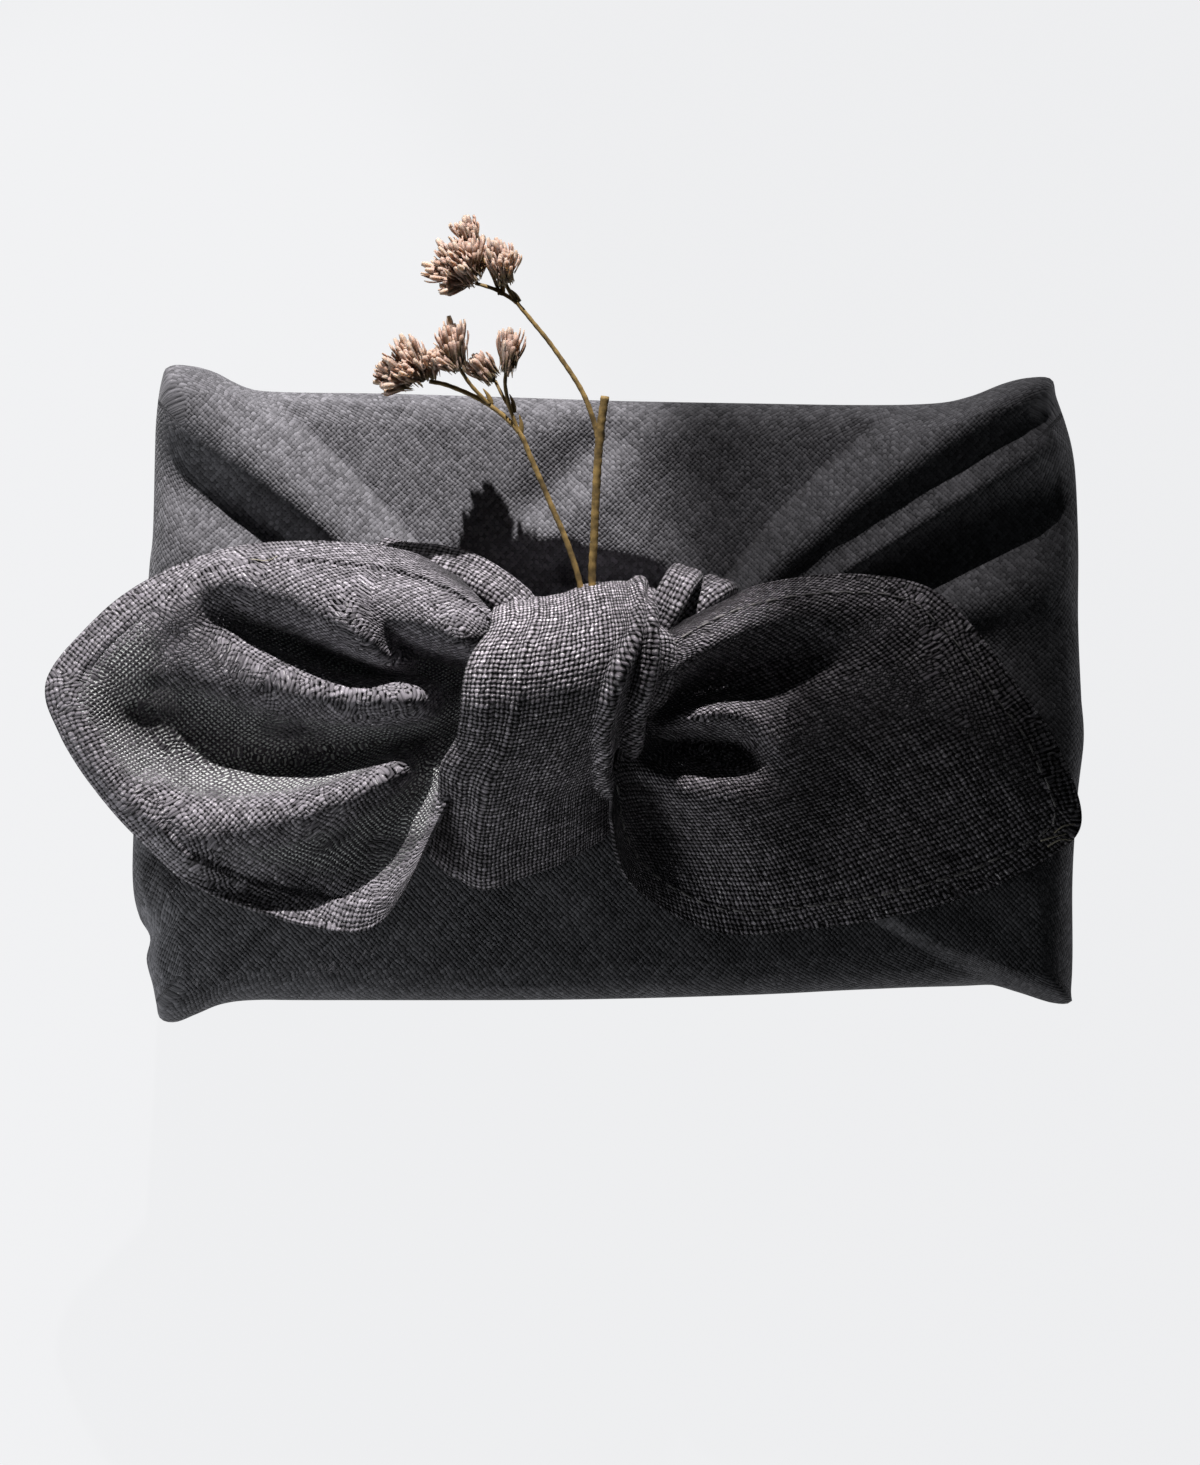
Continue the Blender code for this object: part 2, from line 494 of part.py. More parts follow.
def wrap_stations():
    """Stations round the outline, anticlockwise from the north: outline point, gather point and wing."""
    outline = curve_through(OUTLINE, np.linspace(0.0, 1.0, CURVE_SAMPLES * len(OUTLINE)))
    west, east = np.array(WEST_WING.centre), np.array(EAST_WING.centre)
    west_edge = on_rays(WEST_WING, outline, ray_bearings(WEST_RAYS))
    east_edge = on_rays(EAST_WING, outline, ray_bearings(EAST_RAYS)[::-1])
    between = np.arange(1, MIDDLE_STEPS) / MIDDLE_STEPS
    line = mix(west, east, between[:, None])
    sides = []
    for half in (outline[outline[:, 1] < 0], outline[outline[:, 1] > 0]):
        order = np.argsort(half[:, 0])
        sides.append(np.stack([line[:, 0], np.interp(line[:, 0], half[order, 0], half[order, 1])], axis=1))
    edge = np.concatenate([west_edge, sides[0], east_edge, sides[1][::-1]])
    gather = np.concatenate([np.tile(west, (len(west_edge), 1)), line,
                             np.tile(east, (len(east_edge), 1)), line[::-1]])
    wing = [WEST_WING] * len(west_edge) + [None] * len(line)
    wing += [EAST_WING] * len(east_edge) + [None] * len(line)
    return Stations(edge, gather, wing)


def shaped_outline(x, y, share, inset):
    """Plan of a wall ring: a squared seat below, the ears and bulges of the outline above."""
    reach = (np.abs(x / SEAT_HALF_LENGTH) ** SEAT_SQUARENESS + np.abs(y / SEAT_HALF_WIDTH) ** SEAT_SQUARENESS)
    grown = mix(reach ** (-1.0 / SEAT_SQUARENESS), 1.0, share ** EAR_GROWTH)
    return x * grown * (1.0 - 2 * inset / PARCEL_LENGTH), y * grown * (1.0 - 2 * inset / PARCEL_WIDTH)


def wrap_rings(stations, depth):
    """Rings of points, depth inside the cloth's face: up the walls and over the top to the gathers."""
    x, y = stations.edge.T
    rings = []
    for ring in WALL_RINGS:
        px, py = shaped_outline(x, y, ring.height, ring.inset + depth)
        lift = relief(x * RIM_SHARE, y * RIM_SHARE) * ring.height ** LIFT_GROWTH
        rings.append(np.stack([px, py, mix(depth, PARCEL_HEIGHT - depth, ring.height) + lift], axis=1))
    rim_x, rim_y, _ = rings[-1].T
    for step in range(1, TOP_RINGS + 1):
        inward = (step / TOP_RINGS) ** TOP_RING_SPACING
        px = mix(rim_x, stations.gather[:, 0], inward)
        py = mix(rim_y, stations.gather[:, 1], inward)
        for wing in (WEST_WING, EAST_WING):
            mine = np.array([own is wing for own in stations.wing])
            reach, bearing = bearing_from(wing, rim_x, rim_y)
            distance = reach * (1.0 - inward)
            place = turned_by(wing, along_wing(wing, reach), bearing, outwards=True)
            turn = np.radians(turned_by(wing, along_wing(wing, distance), place, outwards=False))
            px = np.where(mine, wing.centre[0] + wing.outward * distance * np.cos(turn), px)
            py = np.where(mine, wing.centre[1] + distance * np.sin(turn), py)
        rings.append(np.stack([px, py, PARCEL_HEIGHT - depth + relief(px, py)], axis=1))
    return np.stack(rings)


def wrap_form(name, depth, material):
    """The closed form of the wrapped parcel, depth inside the cloth's outer face."""
    rings = wrap_rings(wrap_stations(), depth)
    rows, columns = rings.shape[:2]
    faces = grid_faces(rows, columns, closed=True)
    faces.append(tuple(reversed(range(columns))))
    form = new_mesh_object(name, rings.reshape(-1, 3), faces, material)
    shape = bmesh.new()
    shape.from_mesh(form.data)
    bmesh.ops.remove_doubles(shape, verts=shape.verts, dist=0.001 * MM)
    bmesh.ops.recalc_face_normals(shape, faces=shape.faces)
    shape.to_mesh(form.data)
    shape.free()
    return form


def make_mouth_cutter():
    """A slot with round ends, down through the top between the two flaps."""
    shape = bmesh.new()
    bmesh.ops.create_cone(shape, cap_ends=True, segments=16, radius1=MOUTH_WIDTH / 2, radius2=MOUTH_WIDTH / 2,
                          depth=MOUTH_DEPTH)
    stretch = (MOUTH_LENGTH - MOUTH_WIDTH) / 2
    for vertex in shape.verts:
        vertex.co.x += MOUTH_CENTRE[0] + (stretch if vertex.co.x > 0 else -stretch)
        vertex.co.y += MOUTH_CENTRE[1]
        vertex.co.z += PARCEL_HEIGHT
        vertex.co *= MM
    mesh = bpy.data.meshes.new("mouth")
    shape.to_mesh(mesh)
    shape.free()
    return bpy.data.objects.new("mouth", mesh)


def add_cutter(thing, target):
    """Cut a solid out of the target and keep the cutter as a guide."""
    for collection in list(thing.users_collection):
        collection.objects.unlink(thing)
    bpy.data.collections["cutters"].objects.link(thing)
    thing.hide_render = True
    thing.display_type = "WIRE"
    cut = target.modifiers.new(thing.name, "BOOLEAN")
    cut.operation = "DIFFERENCE"
    cut.solver = "EXACT"
    cut.object = thing


def make_wrap(material):
    wrap = wrap_form("cloth", 0.0, material)
    add_cutter(wrap_form("hollow", CLOTH_THICKNESS, material), wrap)
    add_cutter(make_mouth_cutter(), wrap)
    apply_modifiers(wrap)
    return wrap


# ================================================================= the knot
def band_normals(points):
    """Normals of a grid whose columns close on themselves, towards the band's inside."""
    round_it = np.roll(points, -1, axis=1) - np.roll(points, 1, axis=1)
    normals = np.cross(np.gradient(points, axis=0), round_it)
    return normals / np.maximum(np.linalg.norm(normals, axis=2, keepdims=True), 1e-9)


def knot_grid():
    """Points of the band: rows from west to east, columns round it."""
    turn = curve_through(KNOT_TURNS, np.arange(KNOT_STEPS_ROUND) / KNOT_STEPS_ROUND)
    down, height = np.clip(turn[:, 0], 0.0, 1.0)[None, :], turn[:, 1][None, :]
    across = np.linspace(-1.0, 1.0, KNOT_STEPS_ACROSS + 1)[:, None]
    sides, ends = np.array(KNOT_SIDES), np.array(KNOT_ENDS)
    west, east = (curve_value(sides[:, 0], sides[:, k], down) for k in (1, 2))
    far, near, crown = (curve_value(ends[:, 0], ends[:, k], across) for k in (1, 2, 3))
    x = mix(west, east, (across + 1) / 2)
    y = mix(far, near, down)
    z = KNOT_FLOOR + (height - KNOT_FLOOR) * np.where(height > KNOT_FLOOR, crown, 1.0)
    points = np.stack(np.broadcast_arrays(x, y, z), axis=2)
    rise = sum(bump(pleat.height, across - np.interp(down, *np.array(pleat.path).T), pleat.width)
               for pleat in KNOT_PLEATS) * smooth((height - PLEAT_START) / PLEAT_RISE)
    return points - band_normals(points) * rise[..., None]


def make_knot(material):
    points = knot_grid()
    rows, columns = points.shape[:2]
    faces = grid_faces(rows, columns, closed=True)
    west, last = rows * columns, (rows - 1) * columns
    for k in range(columns):
        right = (k + 1) % columns
        faces.append((west, right, k))
        faces.append((west + 1, last + k, last + right))
    caps = np.stack([points[0].mean(axis=0), points[-1].mean(axis=0)])
    knot = new_mesh_object("knot", np.concatenate([points.reshape(-1, 3), caps]), faces, material)
    face_outwards(knot)
    return knot


def face_outwards(thing):
    shape = bmesh.new()
    shape.from_mesh(thing.data)
    bmesh.ops.recalc_face_normals(shape, faces=shape.faces)
    shape.to_mesh(thing.data)
    shape.free()


def make_rolls(material):
    places = np.linspace(0.0, 1.0, ROLL_STEPS)
    return [tube_mesh_object("roll", curve_through(roll.points, places), roll.radius, material)
            for roll in BUNCH_ROLLS]


# ================================================================= the free ends
def folded_height(folds):
    """A smooth sheet through all the fold lines, as a function of plan position."""
    held = []
    for fold in folds:
        dense = curve_through(fold.points, np.linspace(0.0, 1.0, CURVE_SAMPLES * len(fold.points)))
        held += [point for point in evenly(dense, HELD_PITCH)
                 if all(np.hypot(*(point - other)[:2]) > HELD_DISTANCE for other in held)]
    held = np.array(held)
    count = len(held)
    gap = np.hypot(held[:, None, 0] - held[None, :, 0], held[:, None, 1] - held[None, :, 1])
    level = np.ones((count, 1))
    system = np.block([[-np.sqrt(gap ** 2 + CREST_RADIUS ** 2) + SHEET_EASE * np.eye(count), level],
                       [level.T, np.zeros((1, 1))]])
    weights = np.linalg.solve(system, np.concatenate([held[:, 2], [0.0]]))

    def height(x, y):
        total = np.full(x.shape, weights[-1])
        for (held_x, held_y, _), weight in zip(held, weights):
            total = total - weight * np.sqrt((x - held_x) ** 2 + (y - held_y) ** 2 + CREST_RADIUS ** 2)
        return total

    return height


def make_free_end(name, free_end, material):
    """A free end: a fan of cloth from the knot to its outline, folded as its fold lines say."""
    share = np.linspace(0.0, 1.0, TAIL_STEPS_ACROSS + 1)
    edge = curve_through(free_end.outline, share)
    start = mix(np.array(free_end.root[0]), np.array(free_end.root[1]), share[:, None])
    out = np.linspace(0.0, 1.0, TAIL_STEPS_OUT + 1) ** TAIL_STEP_SPACING
    plan = mix(start[None], edge[None], out[:, None, None])
    height = folded_height(free_end.folds)(plan[..., 0], plan[..., 1])
    points = np.concatenate([plan, height[..., None]], axis=2)
    faces = grid_faces(*points.shape[:2], closed=False)
    sheet = new_mesh_object(name, points.reshape(-1, 3), faces, material)
    thicken_down(sheet, TAIL_THICKNESS)
    return sheet


def thicken_down(thing, thickness):
    """Give an open sheet its thickness by extruding it straight down, which no fold can turn over."""
    shape = bmesh.new()
    shape.from_mesh(thing.data)
    extruded = bmesh.ops.extrude_face_region(shape, geom=shape.faces[:])
    lower = [part for part in extruded["geom"] if isinstance(part, bmesh.types.BMVert)]
    bmesh.ops.translate(shape, verts=lower, vec=(0.0, 0.0, -thickness * MM))
    bmesh.ops.recalc_face_normals(shape, faces=shape.faces)
    shape.to_mesh(thing.data)
    shape.free()


# ================================================================= the sprigs
def tube_mesh_object(name, points, radius, material, sides=8):
    """A closed tube along points, as a mesh."""
    curve = bpy.data.curves.new(name, "CURVE")
    curve.dimensions = "3D"
    curve.bevel_depth = radius * MM
    curve.bevel_resolution = sides // 2 - 2
    curve.use_fill_caps = True
    spline = curve.splines.new("POLY")
    spline.points.add(len(points) - 1)
    for place, point in zip(spline.points, points):
        place.co = (*(value * MM for value in point), 1.0)
    carrier = bpy.data.objects.new(name, curve)
    bpy.data.collections[OBJECT_NAME].objects.link(carrier)
    evaluated = carrier.evaluated_get(bpy.context.evaluated_depsgraph_get())
    mesh = bpy.data.meshes.new_from_object(evaluated)
    bpy.data.objects.remove(carrier)
    shape = bmesh.new()
    shape.from_mesh(mesh)
    bmesh.ops.remove_doubles(shape, verts=shape.verts, dist=0.00001)
    bmesh.ops.recalc_face_normals(shape, faces=shape.faces)
    shape.to_mesh(mesh)
    shape.free()
    mesh.materials.clear()
    mesh.materials.append(material)
    mesh.shade_smooth()
    tube = bpy.data.objects.new(name, mesh)
    bpy.data.collections[OBJECT_NAME].objects.link(tube)
    return tube


def make_sprig(name, stems, material):
    main = tube_mesh_object(name, stems[0].points, stems[0].radius, material)
    branches = [tube_mesh_object(name + "_branch", stem.points, stem.radius, material, sides=6)
                for stem in stems[1:]]
    join_solids(main, branches)
    return main


def make_floret(name, base, direction, length, material):
    """A small cup of bracts, turned about its own stalk."""
    shape = bmesh.new()
    turn = Vector((0, 0, 1)).rotation_difference(direction).to_matrix()
    rings = []
    for share, radius in FLORET_PROFILE:
        ring = []
        for side in range(FLORET_SIDES):
            angle = 2 * pi * side / FLORET_SIDES
            local = Vector((radius * cos(angle), radius * sin(angle), length * share))
            ring.append(shape.verts.new((base + turn @ local) * MM))
        rings.append(ring)
    for low, high in zip(rings, rings[1:]):
        for side in range(FLORET_SIDES):
            right = (side + 1) % FLORET_SIDES
            shape.faces.new((low[side], low[right], high[right], high[side]))
    shape.faces.new(list(reversed(rings[0])))
    shape.faces.new(rings[-1])
    mesh = bpy.data.meshes.new(name)
    shape.to_mesh(mesh)
    shape.free()
    mesh.materials.append(material)
    floret = bpy.data.objects.new(name, mesh)
    bpy.data.collections[OBJECT_NAME].objects.link(floret)
    return floret


def make_head(name, head, stems, material):
    """A flower head: florets that splay from the end of their stalk."""
    end = Vector(stems[head.stem].points[-1])
    run = (end - Vector(stems[head.stem].points[-2])).normalized()
    base = end + run * SEAT_GAP
    axis = Vector(head.direction).normalized()
    side = axis.cross(Vector((0, 0, 1))).normalized()
    florets = []
    for index in range(head.florets):
        spin = 2 * pi * index / head.florets + FLORET_SPIN
        lean = side * cos(spin) + axis.cross(side) * sin(spin)
        tilt = radians(head.splay if index or head.florets < CROWDED_HEAD else 0.0)
        direction = (axis * cos(tilt) + lean * sin(tilt)).normalized()
        length = head.length * (1.0 - FLORET_SHORTENING * (index % 3))
        florets.append(make_floret(name, base + direction * FLORET_STANDOFF, direction, length, material))
    join_solids(florets[0], florets[1:])
    return florets[0]


def cut_sockets(cloth, main_stems):
    """Sockets in the knot's back for the ends of the two main stems."""
    for stem in main_stems:
        inner = Vector(stem.points[0])
        run = (Vector(stem.points[1]) - inner).normalized()
        ends = (tuple(inner - run * SEAT_GAP), stem.points[1], stem.points[2])
        add_cutter(tube_mesh_object("socket", ends, stem.radius + SEAT_GAP, cloth.data.materials[0]), cloth)


# ================================================================= assembly
def main():
    for thing in list(bpy.data.objects):
        bpy.data.objects.remove(thing)
    for name in (OBJECT_NAME, "cutters"):
        collection = bpy.data.collections.new(name)
        bpy.context.scene.collection.children.link(collection)

    linen = principled("linen", LINEN, 0.85)
    ochre = principled("dried stem", STEM_OCHRE, 0.6)
    rose = principled("dried flower", FLOWER_ROSE, 0.8)

    cloth = make_wrap(linen)
    knot = make_knot(linen)
    west = make_free_end("west_end", WEST_END, linen)
    east = make_free_end("east_end", EAST_END, linen)
    join_solids(knot, [west, east] + make_rolls(linen))
    join_solids(cloth, [knot])

    sprigs = {"west": WEST_SPRIG, "east": EAST_SPRIG}
    for side, stems in sprigs.items():
        make_sprig(side + "_sprig", stems, ochre)
    cut_sockets(cloth, [stems[0] for stems in sprigs.values()])
    for index, head in enumerate(HEADS, start=1):
        make_head("%s_flower_%d" % (head.sprig, index), head, sprigs[head.sprig], rose)


main()
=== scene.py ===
"""Furoshiki wrap, dressed: the linen's folded body, its knot, its two free ends and the dried sprigs.

Lengths are millimetres and bearings degrees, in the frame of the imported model; meshes are written in metres.
"""

from collections import namedtuple
from math import cos, pi, radians, sin

import bmesh
import bpy
import numpy as np
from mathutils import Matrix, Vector, noise


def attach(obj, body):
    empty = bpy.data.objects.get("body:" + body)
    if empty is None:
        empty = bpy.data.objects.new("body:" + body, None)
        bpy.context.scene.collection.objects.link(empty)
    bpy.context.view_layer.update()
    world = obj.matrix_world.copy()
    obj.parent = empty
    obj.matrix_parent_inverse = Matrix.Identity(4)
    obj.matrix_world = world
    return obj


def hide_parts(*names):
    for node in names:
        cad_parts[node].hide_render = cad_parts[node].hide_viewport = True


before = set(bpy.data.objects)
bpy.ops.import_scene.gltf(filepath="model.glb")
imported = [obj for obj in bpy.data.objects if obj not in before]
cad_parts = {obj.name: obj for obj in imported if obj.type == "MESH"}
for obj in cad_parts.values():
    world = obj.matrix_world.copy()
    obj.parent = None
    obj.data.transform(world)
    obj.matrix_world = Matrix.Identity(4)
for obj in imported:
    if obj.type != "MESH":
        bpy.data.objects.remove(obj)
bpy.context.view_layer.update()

MM = 0.001
bpy.ops.object.select_all(action="DESELECT")


# ======== camera
def set_camera():
    """Straight above the parcel, far away, so that near and far parts keep one scale."""
    x, y, focus, distance, seen_height, sensor_mm = -0.00298, -0.00569, 0.045, 2.4, 0.25638, 36.0
    lens = bpy.data.cameras.new("overhead")
    lens.lens = sensor_mm * distance / seen_height
    camera = bpy.data.objects.new("overhead", lens)
    camera.location = (x, y, distance + focus)
    bpy.context.scene.collection.objects.link(camera)
    bpy.context.scene.camera = camera


set_camera()


# ======== small helpers
def table(kind, fields, *rows):
    """Rows of numbers whose columns have names."""
    row = namedtuple(kind, fields)
    return tuple(row(*values) for values in rows)


def mix(a, b, share):
    return a + (b - a) * share


def smooth(value):
    value = np.clip(value, 0.0, 1.0)
    return value * value * (3.0 - 2.0 * value)


def bump(height, off, spread):
    return height * np.exp(-(off / spread) ** 2)


def shares(count):
    """Even steps from 0 to 1."""
    return np.linspace(0.0, 1.0, count)


def curve_through(points, places):
    """Points of a smooth open curve through the given points, at places from 0 to 1."""
    points = np.array(points, float)
    last = len(points) - 1
    place = np.clip(np.asarray(places, float), 0.0, 1.0) * last
    index = np.minimum(place.astype(int), last - 1)
    t = (place - index)[:, None]
    p0, p1, p2, p3 = (points[np.clip(index + k, 0, last)] for k in (-1, 0, 1, 2))
    return 0.5 * (2 * p1 + (p2 - p0) * t + (2 * p0 - 5 * p1 + 4 * p2 - p3) * t ** 2
                  + (3 * p1 - p0 - 3 * p2 + p3) * t ** 3)


def run_length(points):
    """Length run along a line of points, at each of them."""
    steps = np.linalg.norm(np.diff(points, axis=0), axis=1)
    return np.concatenate([[0.0], np.cumsum(steps)])


def evenly(points, pitch):
    """The line again, with points a pitch apart."""
    run = run_length(points)
    count = max(int(round(run[-1] / pitch)), 1)
    places = np.linspace(0.0, run[-1], count + 1)
    return np.stack([np.interp(places, run, points[:, k]) for k in range(points.shape[1])], axis=1)


def ripple(points, size, height, seed):
    """Small random unevenness of a surface, in height, over waves of one size."""
    flat = points.reshape(-1, 3)
    values = [noise.noise(Vector((p[0] / size, p[1] / size, p[2] / size + seed))) for p in flat]
    return height * np.array(values).reshape(points.shape[:-1])


def grid_normals(points, closed=False):
    """Unit normals of a grid of points; in a closed grid the last column repeats the first."""
    if closed:
        wide = np.concatenate([points[:, -2:-1], points, points[:, 1:2]], axis=1)
        across = wide[:, 2:] - wide[:, :-2]
    else:
        across = np.gradient(points, axis=1)
    normals = np.cross(across, np.gradient(points, axis=0))
    return normals / np.maximum(np.linalg.norm(normals, axis=2, keepdims=True), 1e-9)


def new_piece(name, vertices, faces, material, uv, edge=None):
    """A mesh object from vertices in millimetres. Its weave map and edge map turn into metres too."""
    mesh = bpy.data.meshes.new(name)
    mesh.from_pydata((np.asarray(vertices, float) * MM).tolist(), [], faces)
    mesh.materials.append(material)
    corner = np.empty(len(mesh.loops), dtype=np.int32)
    mesh.loops.foreach_get("vertex_index", corner)
    for layer_name, values in (("weave", uv), ("edge", edge)):
        if values is not None:
            layer = mesh.uv_layers.new(name=layer_name)
            layer.data.foreach_set("uv", (np.asarray(values, float) * MM)[corner].ravel())
    mesh.shade_smooth()
    piece = bpy.data.objects.new(name, mesh)
    bpy.context.scene.collection.objects.link(piece)
    return piece


def tidy_mesh(piece, merge=True, outwards=True):
    """Merge the doubled points of seams and poles, and turn all faces outwards, or only one of these."""
    shape = bmesh.new()
    shape.from_mesh(piece.data)
    if merge:
        bmesh.ops.remove_doubles(shape, verts=shape.verts, dist=0.01 * MM)
    if outwards:
        bmesh.ops.recalc_face_normals(shape, faces=shape.faces)
    shape.to_mesh(piece.data)
    shape.free()
    return piece


def grid_quads(rows, columns, start=0, turned=False):
    row, column = np.meshgrid(np.arange(rows - 1), np.arange(columns - 1), indexing="ij")
    a = start + row * columns + column
    quads = np.stack([a, a + 1, a + columns + 1, a + columns], axis=-1).reshape(-1, 4)
    return quads[:, ::-1] if turned else quads


def cloth_piece(name, points, flat, edge, thickness, material, closed=False, up=1.0):
    """A thin sheet with two faces and a closed rim, laid under a grid of points."""
    rows, columns = points.shape[:2]
    under = points - grid_normals(points, closed) * up * np.asarray(thickness)[..., None]
    count = rows * columns
    faces = [grid_quads(rows, columns, 0, up > 0), grid_quads(rows, columns, count, up < 0)]
    index = np.arange(count).reshape(rows, columns)
    rims = [index[0], index[-1]] if closed else [index[0], index[:, -1], index[-1, ::-1], index[::-1, 0]]
    faces += [np.stack([rim[:-1], rim[1:], rim[1:] + count, rim[:-1] + count], axis=-1) for rim in rims]
    vertices = np.concatenate([points.reshape(-1, 3), under.reshape(-1, 3)])
    maps = [np.concatenate([values.reshape(-1, 2)] * 2) for values in (flat, edge)]
    return tidy_mesh(new_piece(name, vertices, np.concatenate(faces).tolist(), material, *maps))


def lay_flat(points, start, held, rounds=2500):
    """The sheet laid flat: springs between neighbours keep the lengths they have on the folds."""
    flat = start.copy()
    keep, low, high = slice(None), slice(0, -1), slice(1, None)
    links = [((low, keep), (high, keep)), ((keep, low), (keep, high)),
             ((low, low), (high, high)), ((low, high), (high, low))]
    lengths = [np.linalg.norm(points[b] - points[a], axis=2) for a, b in links]
    for _ in range(rounds):
        move = np.zeros_like(flat)
        pulls = np.zeros(flat.shape[:2])
        for (a, b), length in zip(links, lengths):
            gap = flat[b] - flat[a]
            now = np.linalg.norm(gap, axis=2) + 1e-9
            step = gap * (0.5 * (now - length) / now)[..., None]
            move[a] += step
            move[b] -= step
            pulls[a] += 1
            pulls[b] += 1
        move[held] = 0.0
        flat += move / pulls[..., None]
    return flat


def finer(grid, rows, columns):
    """A coarse grid of values read at more rows and columns."""
    for axis, count in enumerate((rows, columns)):
        places = np.linspace(0, grid.shape[axis] - 1, count)
        grid = np.apply_along_axis(lambda line: np.interp(places, np.arange(len(line)), line), axis, grid)
    return grid


# ======== materials
class Mixer:
    """Short hand for a material's nodes."""

    def __init__(self, name):
        self.material = bpy.data.materials.new(name)
        self.material.use_nodes = True
        self.tree = self.material.node_tree
        self.shader = self.tree.nodes["Principled BSDF"]

    def feed(self, socket, value):
        """Join a node's result to a socket, or set the socket to a plain value."""
        if isinstance(value, bpy.types.NodeSocket):
            self.tree.links.new(value, socket)
        else:
            socket.default_value = value

    def node(self, kind, *values, **settings):
        """A new node with its settings, and its first inputs fed in order."""
        made = self.tree.nodes.new(kind)
        for name, value in settings.items():
            setattr(made, name, value)
        for socket, value in zip(made.inputs, values):
            self.feed(socket, value)
        return made

    def math(self, operation, *values):
        return self.node("ShaderNodeMath", *values, operation=operation).outputs[0]

    def vector(self, operation, *values):
        return self.node("ShaderNodeVectorMath", *values, operation=operation).outputs[0]

    def add(self, a, b):
        return self.math("ADD", a, b)

    def times(self, a, b):
        return self.math("MULTIPLY", a, b)

    def rest(self, value):
        return self.math("SUBTRACT", 1.0, value)

    def ramp(self, value, low, high, to_low=0.0, to_high=1.0):
        values = (value, low, high, to_low, to_high)
        return self.node("ShaderNodeMapRange", *values, interpolation_type="SMOOTHSTEP").outputs[0]

    def noise(self, place, scale, detail=2.0, roughness=0.5, output="Fac"):
        made = self.node("ShaderNodeTexNoise")
        values = {"Vector": place, "Scale": scale, "Detail": detail, "Roughness": roughness}
        for name, value in values.items():
            self.feed(made.inputs[name], value)
        return made.outputs[output]

    def chance(self, value):
        """A random number from 0 to 1, the same wherever the value is the same."""
        made = self.node("ShaderNodeTexWhiteNoise", noise_dimensions="1D")
        self.feed(made.inputs["W"], value)
        return made.outputs["Value"]

    def blend(self, share, a, b, mode="MIX"):
        made = self.node("ShaderNodeMix", share, data_type="RGBA", blend_type=mode)
        for socket, value in zip([s for s in made.inputs if s.type == "RGBA"], (a, b)):
            self.feed(socket, value)
        return [s for s in made.outputs if s.type == "RGBA"][0]

    def map(self, name):
        """The numbers of one of the piece's maps."""
        place = self.node("ShaderNodeUVMap", uv_map=name).outputs[0]
        return self.node("ShaderNodeSeparateXYZ", place).outputs

    def own_place(self):
        """Where each point lies on its piece."""
        return self.node("ShaderNodeTexCoord").outputs["Object"]

    def finish(self, colour, roughness, height, depth, sheen=0.0, specular=0.3, soaking=0.0):
        """Feed the shader; depth is how far the relief's height of 1 stands up, in metres."""
        relief = self.node("ShaderNodeBump")
        relief.inputs["Distance"].default_value = depth
        self.feed(relief.inputs["Height"], height)
        values = {"Base Color": colour, "Roughness": roughness, "Normal": relief.outputs[0],
                  "Sheen Weight": sheen, "Sheen Roughness": 0.45, "Specular IOR Level": specular,
                  "Subsurface Weight": soaking, "Subsurface Radius": (1.0, 0.7, 0.5),
                  "Subsurface Scale": 0.0018}
        for name, value in values.items():
            self.feed(self.shader.inputs[name], value)
        return self.material


THREADS_PER_M = 1190.0
HEM_WIDTH, HEM_STEP = 5.3, 0.6
SLOW_DRIFT, QUICK_SHAKE = (0.055, 1.0, 1.3), (0.42, 2.0, 0.9)       # scale, detail and reach, in threads
# HOLLOW_SHADE is a painted shade colour and DAYLIGHT_IN_GAPS a painted daylight colour, both for the west
# end's low cloth.
PALE_FIBRE, HOLLOW_SHADE = (0.46, 0.45, 0.45, 1.0), (0.010, 0.010, 0.011, 1.0)
DAYLIGHT_IN_GAPS = (0.70, 0.72, 0.70, 1.0)


